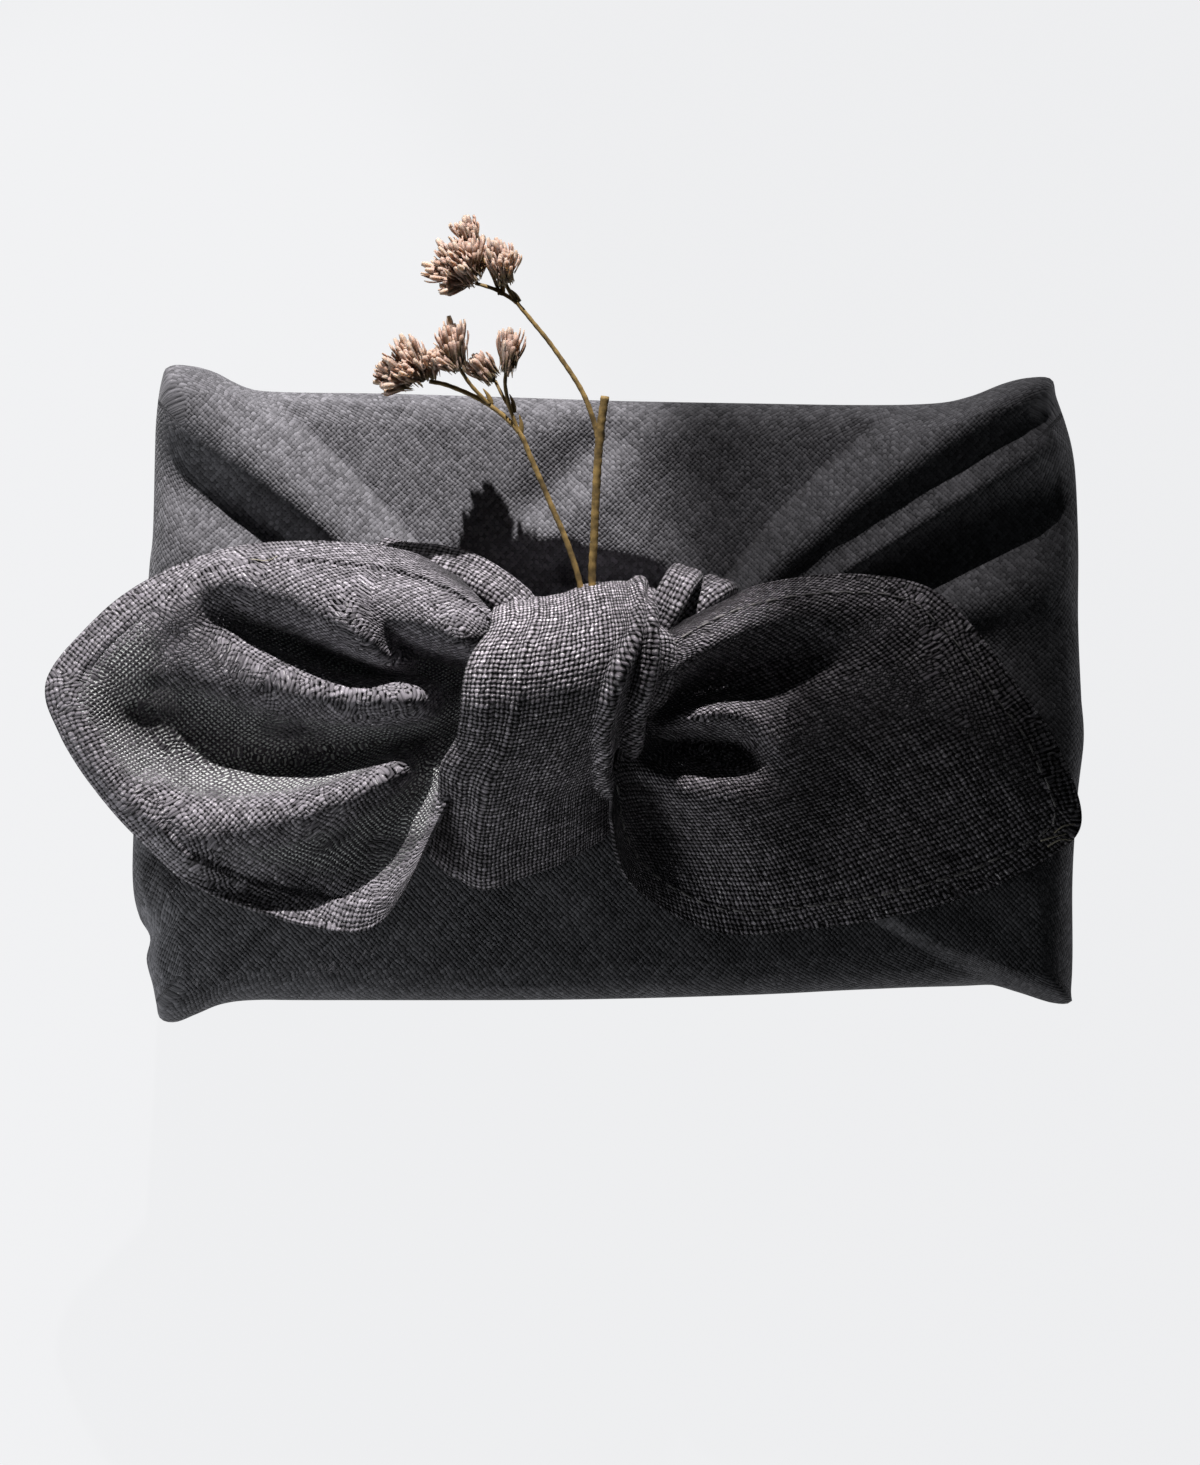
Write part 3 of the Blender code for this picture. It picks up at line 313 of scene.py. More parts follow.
def linen(name, hem, openness, body_width, crisp, painted_brightness, painted_shade_and_daylight=False):
    """Open plain weave of slubby grey yarn. The weave map gives metres along weft and warp from the hems."""
    m = Mixer(name)

    def by_crispness(soft, sharp):
        return mix(soft, sharp, crisp)

    count = THREADS_PER_M * by_crispness(1.2, 1.0)
    place = m.node("ShaderNodeUVMap", uv_map="weave").outputs[0]
    threads = m.vector("MULTIPLY", place, (count, count, 0.0))
    moved = threads
    for scale, detail, reach in SLOW_DRIFT, QUICK_SHAKE:
        off = m.vector("SUBTRACT", m.noise(threads, scale, detail, output="Color"), (0.5, 0.5, 0.5))
        moved = m.vector("ADD", moved, m.vector("MULTIPLY", off, (reach, reach, 0.0)))
    u, v = m.node("ShaderNodeSeparateXYZ", moved).outputs[:2]
    column, row = m.math("FLOOR", u), m.math("FLOOR", v)
    sign = m.add(m.times(m.math("FLOORED_MODULO", m.add(column, row), 2.0), -2.0), 1.0)
    crossing = m.chance(m.add(m.times(column, 13.7), m.times(row, 7.31)))
    off_u, off_v = (m.add(m.math("FRACT", line), -0.5) for line in (u, v))
    chance_warp, chance_weft = m.chance(column), m.chance(m.add(row, 517.3))

    def slub(line, along):
        joined = m.node("ShaderNodeCombineXYZ", m.times(line, 3.7), m.times(along, 0.16))
        return m.noise(joined.outputs[0], 1.0, 2.0, 0.6)

    def yarn(off, chance, slubs, turn, side):
        """How round the yarn is here, and how high; side is 1 for the warp and -1 for the weft."""
        half = m.add(m.add(m.times(chance, 0.12), body_width), m.times(m.add(slubs, -0.5), 0.40))
        roundness = m.rest(m.math("POWER", m.math("DIVIDE", m.math("ABSOLUTE", off), half), 2.0))
        wave = m.times(m.times(sign, side), m.math("COSINE", m.times(turn, pi)))
        return roundness, m.add(m.times(roundness, 0.45), m.times(wave, 0.40))

    slub_warp, slub_weft = slub(column, v), slub(m.add(row, 91.0), u)
    round_warp, warp = yarn(off_u, chance_warp, slub_warp, off_v, 1.0)
    round_weft, weft = yarn(off_v, chance_weft, slub_weft, off_u, -1.0)
    top, roundest = m.math("MAXIMUM", warp, weft), m.math("MAXIMUM", round_warp, round_weft)
    warp_shows = m.math("GREATER_THAN", warp, weft)

    def on_top(of_warp, of_weft):
        return m.add(m.times(warp_shows, of_warp), m.times(m.rest(warp_shows), of_weft))

    dye, thick = on_top(chance_warp, chance_weft), on_top(slub_warp, slub_weft)
    fibres = m.noise(threads, 2.6, 3.0, 0.7)
    tone_and_painted_light = m.add(m.add(0.42, m.times(dye, 0.42)), m.add(m.times(thick, 0.55), m.times(fibres, 0.35)))
    # Painted shade in the gaps between yarns and painted highlight on the yarn tops, both stronger on crisper
    # pieces; the last factor scales how bright the yarn tops are painted.
    tone_and_painted_light = m.times(tone_and_painted_light, m.ramp(top, by_crispness(-0.42, 0.08), by_crispness(0.46, 0.82),
                                  by_crispness(0.25, 0.02), painted_brightness * by_crispness(0.95, 2.1)))
    tone_and_painted_light = m.times(tone_and_painted_light, m.add(m.times(crossing, by_crispness(0.64, 0.9)), by_crispness(0.68, 0.55)))
    tone_and_painted_light = m.times(tone_and_painted_light, m.ramp(m.noise(threads, 0.02, 2.0), 0.25, 0.75, 0.86, 1.14))
    dyed = [by_crispness(*tones) for tones in ((0.150, 0.146), (0.147, 0.134), (0.158, 0.148))]
    bleached = m.ramp(fibres, by_crispness(0.60, 0.54), by_crispness(0.76, 0.68))
    pale = m.blend(bleached, (*dyed, 1.0), PALE_FIBRE)
    colour = m.blend(1.0, pale, m.node("ShaderNodeCombineColor", tone_and_painted_light, tone_and_painted_light, tone_and_painted_light).outputs[0], "MULTIPLY")
    height = m.times(top, by_crispness(0.16, 0.30))
    if hem:
        from_hem, hollow = m.map("edge")[:2]
        double = m.ramp(from_hem, (HEM_WIDTH + 0.1) * MM, (HEM_WIDTH - 0.6) * MM)
        height = m.add(height, m.times(double, 0.22))
    # On the west end: painted shade over the low cloth, and painted daylight specks in the gaps between its
    # yarns.
    if painted_shade_and_daylight:
        hollow = m.times(hollow, 1.0 / MM)
        # painted shade on the low cloth
        colour = m.blend(m.times(hollow, 0.62), colour, HOLLOW_SHADE)
        # painted daylight specks in the gaps between yarns, where no real light comes through
        painted_daylight_specks = m.times(m.ramp(roundest, 0.80, 0.36), m.ramp(m.noise(threads, 0.09, 3.0), 0.26, 0.52))
        colour = m.blend(m.times(painted_daylight_specks, hollow), colour, DAYLIGHT_IN_GAPS)
    if openness:
        gap = m.times(m.times(m.ramp(roundest, 0.42, 0.12), openness), m.rest(double))
        # the weave has no real holes where shade and daylight are painted
        if painted_shade_and_daylight:
            gap = m.times(gap, m.rest(hollow))
        m.feed(m.shader.inputs["Alpha"], m.rest(gap))
    return m.finish(colour, 0.86, height, 0.001, sheen=0.10, specular=0.18)


def plain_fibre(name, dark, light, scale, roughness, depth):
    """Dry stems and sewing thread: fine streaks between two tones."""
    m = Mixer(name)
    grain = m.noise(m.own_place(), scale, 4.0, 0.65)
    colour = m.blend(m.ramp(grain, 0.3, 0.7), (*dark, 1.0), (*light, 1.0))
    return m.finish(colour, roughness, grain, depth)


def petals(name):
    """Bracts: olive at the foot, rose brown above, with cream tips. The map gives chance and height."""
    m = Mixer(name)
    chance, up = (m.times(value, 1.0 / MM) for value in m.map("weave")[:2])
    ramp = m.node("ShaderNodeValToRGB", m.add(up, m.times(m.add(chance, -0.5), 0.24)))
    stops = ((0.0, (0.13, 0.11, 0.045)), (0.28, (0.25, 0.18, 0.09)), (0.55, (0.42, 0.26, 0.19)),
             (0.84, (0.54, 0.35, 0.29)), (1.0, (0.66, 0.49, 0.39)))
    elements = ramp.color_ramp.elements
    for place, colour in stops[1:-1]:
        elements.new(place)
    for element, (place, colour) in zip(elements, stops):
        element.position, element.color = place, (*colour, 1.0)
    tones = ramp.outputs[0]
    pale = m.blend(m.ramp(chance, 0.55, 0.95), tones, (0.58, 0.43, 0.34, 1.0))
    pale = m.blend(m.ramp(up, 0.3, 0.7, 1.0, 0.0), pale, tones)
    grain = m.noise(m.own_place(), 2600.0, 3.0, 0.6)
    colour = m.blend(m.ramp(grain, 0.35, 0.7, 0.35, 0.0), pale, (0.20, 0.13, 0.08, 1.0))
    return m.finish(colour, 0.8, grain, 0.0001, soaking=0.35)


def studio_floor():
    """Pale paper that shines by itself, at about half strength on the wrap and in full to the camera."""
    on_wrap, to_camera = 0.50, 0.870
    m = Mixer("pale floor")
    grain = m.noise(m.own_place(), 40.0, 2.0)
    colour = m.blend(grain, (0.012, 0.012, 0.0122, 1.0), (0.013, 0.013, 0.0132, 1.0))
    m.shader.inputs["Emission Color"].default_value = (0.98, 0.985, 1.0, 1.0)
    seen = m.node("ShaderNodeLightPath").outputs["Is Camera Ray"]
    m.feed(m.shader.inputs["Emission Strength"], m.ramp(seen, 0.0, 1.0, on_wrap, to_camera))
    return m.finish(colour, 0.9, grain, 0.0)


# One linen in five pieces: lit and shaded copies of one cloth. Crispness sets, among other things, how
# strongly each piece's yarn tops are painted light and its gaps painted dark. The last number sets how bright
# the piece is painted for the light it gets.
LINEN_BODY = linen("charcoal linen", False, 0.0, 0.34, 0.0, 1.0)
LINEN_ROLL = linen("charcoal linen, bunched", False, 0.0, 0.32, 1.0, 0.85)
LINEN_WEST = linen("charcoal linen, west end", True, 1.0, 0.32, 0.8, 0.84, True)
LINEN_EAST = linen("charcoal linen, east end", True, 0.9, 0.32, 1.15, 0.82)
LINEN_BAND = linen("charcoal linen, knot", True, 0.0, 0.32, 1.15, 0.96)
THREAD = plain_fibre("sewing thread", (0.12, 0.115, 0.12), (0.38, 0.36, 0.35), 900.0, 0.7, 0.00005)
RAW_THREAD = plain_fibre("raw thread", (0.30, 0.27, 0.20), (0.54, 0.50, 0.40), 700.0, 0.7, 0.00005)
STALK = plain_fibre("dry stalk", (0.120, 0.082, 0.034), (0.36, 0.24, 0.085), 420.0, 0.6, 0.00012)
BRACT = petals("dry bracts")

# ======== the wrapped body
PARCEL_LENGTH, PARCEL_WIDTH, PARCEL_HEIGHT = 161.0, 104.5, 40.0
SEAT_HALF_LENGTH, SEAT_HALF_WIDTH, SEAT_SQUARENESS, EAR_GROWTH = 79.3, 51.0, 14.0, 1.6
OUTLINE = (
    # east side, south to north
    (81.5, 0), (80.8, 14), (80.8, 28.5), (80.2, 40), (78.6, 48), (77.6, 53.4), (77.2, 57),
    # north side, east to west
    (73.2, 57.2), (68.6, 56), (62, 53.2), (55.3, 51.7), (41.8, 51.4), (21.7, 51.8), (0.4, 52.3),
    (-21, 53.2), (-41, 53.9), (-54.4, 54.1), (-61.8, 54.4), (-65.1, 55), (-68.4, 56.5),
    (-71.8, 58.4), (-75.8, 59.6), (-80, 59.7),
    # west side, north to south
    (-81.1, 56.6), (-81.1, 42.7), (-81.4, 29.2), (-82.3, 21.9), (-84, 0), (-85.6, -23.5), (-85.6, -32.7),
    (-84.2, -38.1), (-82, -41.5), (-82.9, -45.5), (-82, -50), (-81.7, -53.4), (-81.4, -56.6),
    # south side, west to east
    (-78.8, -57.3), (-74.7, -55.6), (-69.6, -53.4), (-63.5, -52.5), (-52, -52.5), (-10, -52.4),
    (21.5, -51.4), (39.9, -50.2), (58.4, -49), (63.9, -48.8), (70.7, -51.1), (76.8, -53.3), (80.4, -53.3),
    # east side again
    (80, -49.9), (79.5, -32.7), (80.6, -17.5), (82, -7), (81.5, 0))
WALL_RINGS = table(
    "WallRing", "inset height",
    (3, 0), (0.6, 0.045), (0, 0.3), (-0.4, 0.62), (-0.6, 0.85), (0.3, 0.93), (2.4, 0.98), (5.4, 1))
LIFT_GROWTH, RIM_SHARE = 6, 0.98

Wing = namedtuple("Wing", "centre outward near far north_edge south_edge swings folds")
WEST_WING = Wing(
    centre=(-27, 3.5), outward=-1, near=24, far=77, north_edge=49.5, south_edge=-49.5,
    swings=table("Swing", "far near",
                 (-180, -180), (-90, -96), (-49.5, -58), (-35, -44), (0, 0), (30, 35), (42.5, 52.4),
                 (49.5, 74.5), (90, 96), (180, 180)),
    folds=table("Fold", "bearing spread_near spread_far height_near height_far",
                (43.5, 9, 5.4, 9, 4.2), (34.5, 5, 4, -2.2, -1.2), (24, 8, 6, 1, 2.2),
                (12, 4, 3, -0.6, -1), (-4, 9, 8, 0.8, 1.2), (-27, 4, 3, -1.6, -2.4),
                (-35.5, 5.5, 4.4, 4, 6.4)))
EAST_WING = Wing(
    centre=(11, 1.8), outward=1, near=15, far=85, north_edge=45.5, south_edge=-39.5,
    swings=table("Swing", "far near",
                 (-180, -180), (-90, -96), (-39.5, -73.5), (-28, -40), (0, 0), (17, 15), (33.5, 38),
                 (36.5, 47), (39.5, 58), (45.5, 75), (90, 98), (180, 180)),
    folds=table("Fold", "bearing spread_near spread_far height_near height_far",
                (39.6, 7, 4.2, 9.5, 6.5), (36.3, 3, 2, -3.4, -3), (33.2, 4.4, 3.2, 5.6, 5.4),
                (26, 4.6, 4.2, -2.6, -3.4), (16.5, 6.5, 5, 2, 3.6), (-6, 9, 8, 0.6, 1.4),
                (-28, 8, 6, 1, 1.6), (-37, 4, 3, 1.6, 0.7)))
RING_SPACING, MAP_MARGIN, SKIN_DEPTH = 0.94, 400.0, 2.0       # the margin keeps all the map's numbers above 0
WING_LAYER, WING_RISE, WING_RISE_REACH, SWING_SPEED = 1.2, 11.0, 14.0, 0.55
EDGE_SOFTNESS, EDGE_SOFTNESS_AT_GATHER, GATHER_BLEND, FOLD_START = 2.6, 45.0, 6.0, 16.0
PANEL_CREASES = table(
    "Crease", "x1 y1 x2 y2 half_width height",
    (4, 52, -19, 29, 4.5, -2.2), (11, 51, -9, 29, 6, 1.4), (-23, 22.6, -5, 23.8, 3.4, -4.6),
    (-14, 24, 11, 19.6, 2.6, -4.4), (-21, 18.6, 8, 17.4, 3.6, -6))


def along_wing(wing, distance):
    return np.clip((distance - wing.near) / (wing.far - wing.near), 0.0, 1.0) ** SWING_SPEED


def bearing_from(wing, x, y):
    dx, dy = (x - wing.centre[0]) * wing.outward, y - wing.centre[1]
    return np.hypot(dx, dy), np.degrees(np.arctan2(dy, dx))


def turned_by(wing, along, bearing, outwards):
    """Follow a fold's swing: from its bearing at the edge to the one here, or back again."""
    result, done = bearing.copy(), np.zeros(bearing.shape, bool)
    for low, high in zip(wing.swings, wing.swings[1:]):
        here_low, here_high = mix(low.near, low.far, along), mix(high.near, high.far, along)
        if outwards:
            share, fits = (bearing - here_low) / (here_high - here_low), bearing <= here_high
            value = mix(low.far, high.far, share)
        else:
            share, fits = (bearing - low.far) / (high.far - low.far), bearing <= high.far
            value = mix(here_low, here_high, share)
        result = np.where(fits & ~done, value, result)
        done |= fits
    return result


def wing_height(wing, x, y):
    distance, bearing = bearing_from(wing, x, y)
    along = along_wing(wing, distance)
    place = turned_by(wing, along, bearing, True)
    softness = EDGE_SOFTNESS + EDGE_SOFTNESS_AT_GATHER * np.exp(-distance / GATHER_BLEND)
    inside = smooth((wing.north_edge - place) / softness + 0.5)
    inside = inside * smooth((place - wing.south_edge) / softness + 0.5)
    inside = mix(0.5, inside, smooth(distance / GATHER_BLEND))
    rise = WING_RISE * np.exp(-(distance / WING_RISE_REACH) ** 2)
    folds = sum(bump(mix(f.height_near, f.height_far, along), place - f.bearing,
                     mix(f.spread_near, f.spread_far, along)) for f in wing.folds)
    return inside * (WING_LAYER + rise + folds * smooth(distance / FOLD_START))


def crease_height(crease, x, y):
    run_x, run_y = crease.x2 - crease.x1, crease.y2 - crease.y1
    off_x, off_y = x - crease.x1, y - crease.y1
    length = np.hypot(run_x, run_y)
    share = (off_x * run_x + off_y * run_y) / length ** 2
    across = np.abs(run_x * off_y - run_y * off_x) / length
    return bump(crease.height, across, crease.half_width) * smooth(4 * share) * smooth(4 * (1 - share))


def relief(x, y):
    """Height of the cloth above the parcel's top."""
    height = wing_height(WEST_WING, x, y) + wing_height(EAST_WING, x, y)
    return height + sum(crease_height(crease, x, y) for crease in PANEL_CREASES)


def body_stations(pitch):
    """Points round the outline with the gather that each runs to: 0 west, 1 east, 2 the line between."""
    outline = evenly(curve_through(OUTLINE, shares(40 * len(OUTLINE))), pitch)[:-1]
    west, east = np.array(WEST_WING.centre), np.array(EAST_WING.centre)
    run = np.clip((outline[:, 0] - west[0]) / (east[0] - west[0]), 0.0, 1.0)
    kind = np.where(run <= 0.0, 0, np.where(run >= 1.0, 1, 2))
    return outline, mix(west, east, run[:, None]), kind


def shaped_outline(x, y, share, inset):
    """Plan of a wall ring: a squared seat below, the ears and bulges of the outline above."""
    reach = np.abs(x / SEAT_HALF_LENGTH) ** SEAT_SQUARENESS + np.abs(y / SEAT_HALF_WIDTH) ** SEAT_SQUARENESS
    grown = mix(1.0 / reach ** (1.0 / SEAT_SQUARENESS), 1.0, share ** EAR_GROWTH)
    return x * grown * (1.0 - inset / (PARCEL_LENGTH / 2)), y * grown * (1.0 - inset / (PARCEL_WIDTH / 2))


def body_rings(pitch, wall_steps, top_steps, depth):
    """Grid of points, ring by ring: up the walls and over the top to the gathers."""
    outline, gather, kind = body_stations(pitch)
    x, y = outline.T
    squared = [wing._replace(swings=[s._replace(near=s.far) if abs(s.far) == 90 else s for s in wing.swings])
               for wing in (WEST_WING, EAST_WING)]
    rings = []
    for inset, share in curve_through(WALL_RINGS, shares(wall_steps)):
        share = min(max(share, 0.0), 1.0)
        px, py = shaped_outline(x, y, share, inset + depth)
        near = smooth((share - 0.9) / 0.1)
        lift = relief(mix(x * RIM_SHARE, px, near), mix(y * RIM_SHARE, py, near)) * share ** LIFT_GROWTH
        rings.append(np.stack([px, py, mix(depth, PARCEL_HEIGHT - depth, share) + lift], axis=1))
    rim = rings[-1]
    for step in range(1, top_steps + 1):
        inward = (step / top_steps) ** RING_SPACING
        px, py = mix(rim[:, :2], gather, inward).T
        for number, wing in enumerate(squared):
            reach, bearing = bearing_from(wing, rim[:, 0], rim[:, 1])
            distance = reach * (1.0 - inward)
            place = turned_by(wing, along_wing(wing, reach), bearing, True)
            turn = np.radians(turned_by(wing, along_wing(wing, distance), place, False))
            mine = kind == number
            px = np.where(mine, wing.centre[0] + wing.outward * distance * np.cos(turn), px)
            py = np.where(mine, wing.centre[1] + distance * np.sin(turn), py)
        rings.append(np.stack([px, py, PARCEL_HEIGHT - depth + relief(px, py)], axis=1))
    return np.stack(rings)


def body_map(rings, rim):
    """The body's weave map: the plan of the top, and the walls folded out beyond it, turned to the bias."""
    flat = rings[:, :, :2].copy()
    edge = flat[rim].copy()
    beyond = np.abs(edge) - (PARCEL_LENGTH / 2, PARCEL_WIDTH / 2)
    long_side = beyond[:, 1] > beyond[:, 0]
    out = np.sign(edge) * np.stack([~long_side, long_side], axis=1)
    down = np.zeros(len(edge))
    for ring in range(rim - 1, -1, -1):
        down += np.linalg.norm(rings[ring + 1] - rings[ring], axis=1)
        flat[ring] = edge + out * down[:, None]
    x, y = flat[..., 0], flat[..., 1]
    turn = radians(45.0)
    return np.stack([x * cos(turn) - y * sin(turn), x * sin(turn) + y * cos(turn)], axis=2) + MAP_MARGIN


def make_body():
    """The folded cloth round the parcel: its outer skin, and a coarser inner one under it."""
    vertices, uv, faces, start = [], [], [], 0
    for pitch, wall_steps, top_steps, depth in ((0.86, 34, 100, 0.0), (3.0, 14, 36, SKIN_DEPTH)):
        inner, rim = depth > 0, wall_steps - 1
        rings = body_rings(pitch, wall_steps, top_steps, depth)
        if not inner:
            top = rings[rim - 4:]
            top[..., 2] += ripple(top, 22.0, 0.5, 3.0) + ripple(top, 8.0, 0.22, 9.0)
        grid = np.concatenate([rings, body_map(rings, rim)], axis=2)
        grid = np.concatenate([grid, grid[:, :1]], axis=1)
        rows, columns = grid.shape[:2]
        base = list(range(start, start + columns - 1))
        faces += grid_quads(rows, columns, start, inner).tolist() + [base if inner else base[::-1]]
        vertices.append(grid[..., :3].reshape(-1, 3))
        uv.append(grid[..., 3:].reshape(-1, 2))
        start += rows * columns
    body = new_piece("wrapped_body", np.concatenate(vertices), faces, LINEN_BODY, np.concatenate(uv))
    tidy_mesh(body, outwards=False)
    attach(body, "root")
    return body


# ======== the free ends
FreeEnd = namedtuple("FreeEnd", "outline root folds tip seed flat_size")      # tip: its share of the outline
ROW_SPACING, SEAM_FROM_EDGE = 0.85, 4.6        # rows lie closer towards the hem; the seam is in from the edge
HOLLOW_BELOW, PAINTED_LIGHT_WEST_OF = 55.6, -78.0       # painted shade with painted daylight specks: on the west end's low cloth below this height, and on its tip west of this
WEST_OUTLINE = (
    (-27.4, 20.8), (-35.5, 25.2), (-45, 26.8), (-57, 27), (-69, 25.4), (-82.8, 19.8), (-92.7, 11.8),
    (-99.2, 2.8), (-96.3, -6.4), (-90.3, -15.5), (-82, -24.8), (-72.5, -33.2), (-60, -38), (-52, -40),
    (-45.5, -40.4), (-41, -38.6), (-36.6, -33))
EAST_OUTLINE = (
    (10, 13), (18, 17), (26, 20.4), (40, 22), (53.5, 20), (62, 13), (70, 2.5), (77, -8), (81, -22.2),
    (70.7, -30.3), (60, -34.8), (45, -38.6), (32, -40.2), (19.5, -41), (8, -36.6), (1.4, -30.4),
    (-0.9, -21))
WEST_FOLDS = {
    "hem, far side": ((-24, 17.5, 60), (-32.7, 24.5, 57), (-43.2, 26.6, 54.5), (-55.5, 26.9, 53.5),
        (-66.8, 25.9, 53.5), (-82.1, 19.2, 54.5), (-90.5, 13.1, 55), (-99.8, 2.6, 54.5)),
    "far rim": ((-25.7, 13.6, 64), (-32.7, 17.8, 62), (-41.5, 19.6, 60.5), (-52, 21.3, 60),
        (-60.7, 22.4, 59.5), (-68.6, 22.4, 59), (-74.7, 19.6, 58.5), (-81.7, 14.9, 57.5), (-88.7, 8.8, 57)),
    "first fold": ((-37.6, 6.3, 59), (-43, 7.9, 60.5), (-50.2, 12.6, 61), (-56.3, 17.1, 61),
        (-61.6, 18.9, 60.5), (-67.2, 20.3, 59.5)),
    "lip over the hollow": ((-40.9, 13.6, 61.5), (-34.5, 12.2, 62.5), (-27.1, 9.4, 64)),
    "hollow at the knot": ((-38.3, 9.4, 55.5), (-32.7, 7, 53), (-27.1, 5.6, 53)),
    "upper hollow": ((-35.3, 3.9, 53), (-40.6, 4.8, 52.4), (-48.5, 7, 52), (-57.2, 10.5, 52.6),
        (-64.2, 14, 54.4), (-69.1, 16.4, 56)),
    "second fold": ((-34.6, 1, 60), (-37.2, 1.2, 60.6), (-41.5, 1.6, 59.5), (-48.5, 1.8, 58.5),
        (-55.5, 3.5, 57.5), (-64.2, 6.6, 57), (-72.1, 10.1, 57), (-79.1, 10.5, 57)),
    "gather beside the knot": ((-27.2, 3.4, 53.5), (-29.2, -2.6, 52), (-31, -6.8, 51.4)),
    "large hollow": ((-35, -5.2, 51.6), (-43.2, -10, 50.2), (-53.7, -12.8, 49.2), (-64.2, -13.2, 49.2),
        (-74.7, -12.9, 50.4), (-83.5, -9.1, 52), (-87.8, -4.4, 53.8)),
    "third fold": ((-38, -11.5, 57), (-47.8, -15.4, 57.5), (-57.7, -18.5, 57), (-67.7, -19.8, 56.5),
        (-77.9, -17.5, 56.5), (-86.1, -13.6, 57)),
    "front hollow": ((-32.4, -15.7, 50.5), (-38, -20.6, 49.8), (-43.2, -24.8, 49), (-50.2, -30.1, 48.3),
        (-57.2, -33.6, 48.3), (-64.2, -34.5, 49), (-70.3, -32.5, 50)),
    "near rim": ((-30.2, -16, 55.6), (-31.6, -20.6, 55), (-34.5, -28, 53.8), (-38.8, -34.1, 52.5),
        (-46.7, -37.6, 51)),
    "west rim": ((-94.8, 1.8, 57), (-92.6, -6.1, 57.5), (-88.4, -14.9, 57.5), (-81.7, -22.4, 56),
        (-74.7, -27.6, 54.5)),
    "hem, near side": ((-31.5, -17.5, 55), (-32.7, -24.5, 54), (-38, -31.5, 52.5), (-42.3, -39.9, 51),
        (-57.2, -38.5, 50), (-70.3, -34.6, 50.5), (-80.8, -26.2, 52.5), (-84.7, -23.4, 53.5),
        (-92.2, -14, 55), (-97.5, -5.2, 55), (-99.8, 2.6, 54.5))}
EAST_FOLDS = {
    "hem, far side": ((11, 8.8, 66), (18, 13.6, 63), (24.7, 18.9, 60), (30.8, 21, 58), (40.1, 21.9, 56),
        (49.2, 21, 54.5), (60.9, 14, 53), (70, 2.3, 51.5), (80, -18, 50), (81.2, -22.2, 49.5)),
    "far fold": ((7.5, 1.8, 66), (12.8, 7, 66), (18, 10.5, 64.5), (26.8, 14.9, 62), (37.3, 17.5, 60),
        (47.8, 16.4, 58)),
    "far hollow": ((8.9, -2.1, 57), (14.5, 0.3, 54.5), (21.5, 1.8, 53), (29.4, 3.5, 53.5), (37.3, 7.9, 56)),
    "arched fold": ((8.9, -4.9, 60), (12.4, -2.1, 61.5), (16.6, -0.9, 61.5), (21.5, -1.9, 61),
        (24.5, -4.7, 60), (25.7, -8.4, 59), (27.1, -12.6, 58)),
    "hollow under the arch": ((8.9, -8.4, 51.5), (14.5, -8, 50.5), (19.8, -8.8, 50), (22.4, -10, 51.5)),
    "lit fold": ((6.6, -12.9, 56), (12.8, -14, 57.5), (18.9, -14.5, 58), (25, -14.7, 58)),
    "blade, far": ((35.5, 0, 58.8), (46, 1.8, 57.6), (56.5, 0, 55.6), (67, -10.5, 52.6)),
    "blade, near": ((32, -22.8, 52.2), (42.5, -14, 53.8), (56.5, -17.5, 51.4)),
    "blade, low": ((40, -27, 49.8), (46, -26.2, 49.8), (52, -25, 49.8)),
    "near hollow": ((1.9, -15.7, 54), (4.9, -21, 50), (9.3, -26.2, 47), (14.5, -31.5, 45.6),
        (18.4, -35.3, 45.3)),
    "near rim": ((0.2, -19.8, 56), (-0.5, -24.7, 54.5), (0.7, -30.8, 51.5), (3.8, -35.2, 47.6),
        (9.3, -36.9, 44.8), (15.4, -40.1, 43.9)),
    "hem, near side": ((19.8, -40.9, 44.2), (33.8, -39.7, 45), (45, -38.8, 45.6), (52.3, -36.9, 46.2),
        (61.4, -34.5, 47), (70.7, -30.3, 48), (78, -25.4, 49)),
    "inner hem": ((25.9, -33.8, 47.8), (35.5, -33.6, 48.2), (46, -32.2, 48.6), (60, -28, 49),
        (70.5, -23.6, 49.6))}
WEST_END = FreeEnd(WEST_OUTLINE, ((-20, 12.5), (-24.5, -8.5)), WEST_FOLDS, 7 / 16, 1.0, (0.085, 0.085))
EAST_END = FreeEnd(EAST_OUTLINE, ((4, 7.5), (-0.4, -11.5)), EAST_FOLDS, 8 / 16, 4.0, (0.080, 0.080))


def folded_height(lines, pitch=3.6, apart=1.2, roundness=2.2, ease=0.25):
    """A smooth sheet through all the fold lines, as a function of plan position."""
    held = []
    for points in lines.values():
        dense = curve_through(points, shares(12 * len(points)))
        held += [p for p in evenly(dense, pitch) if all(np.hypot(*(p - q)[:2]) > apart for q in held)]
    held = np.array(held)
    gap = np.hypot(held[:, None, 0] - held[None, :, 0], held[:, None, 1] - held[None, :, 1])
    level = np.ones((len(held), 1))
    system = np.block([[ease * np.eye(len(held)) - np.sqrt(gap ** 2 + roundness ** 2), level],
                       [level.T, np.zeros((1, 1))]])
    weight = np.linalg.solve(system, np.concatenate([held[:, 2], [0.0]]))

    def height(x, y):
        total = np.full(x.shape, weight[-1])
        for (px, py, _), w in zip(held, weight):
            total = total - w * np.sqrt((x - px) ** 2 + (y - py) ** 2 + roundness ** 2)
        return total

    return height


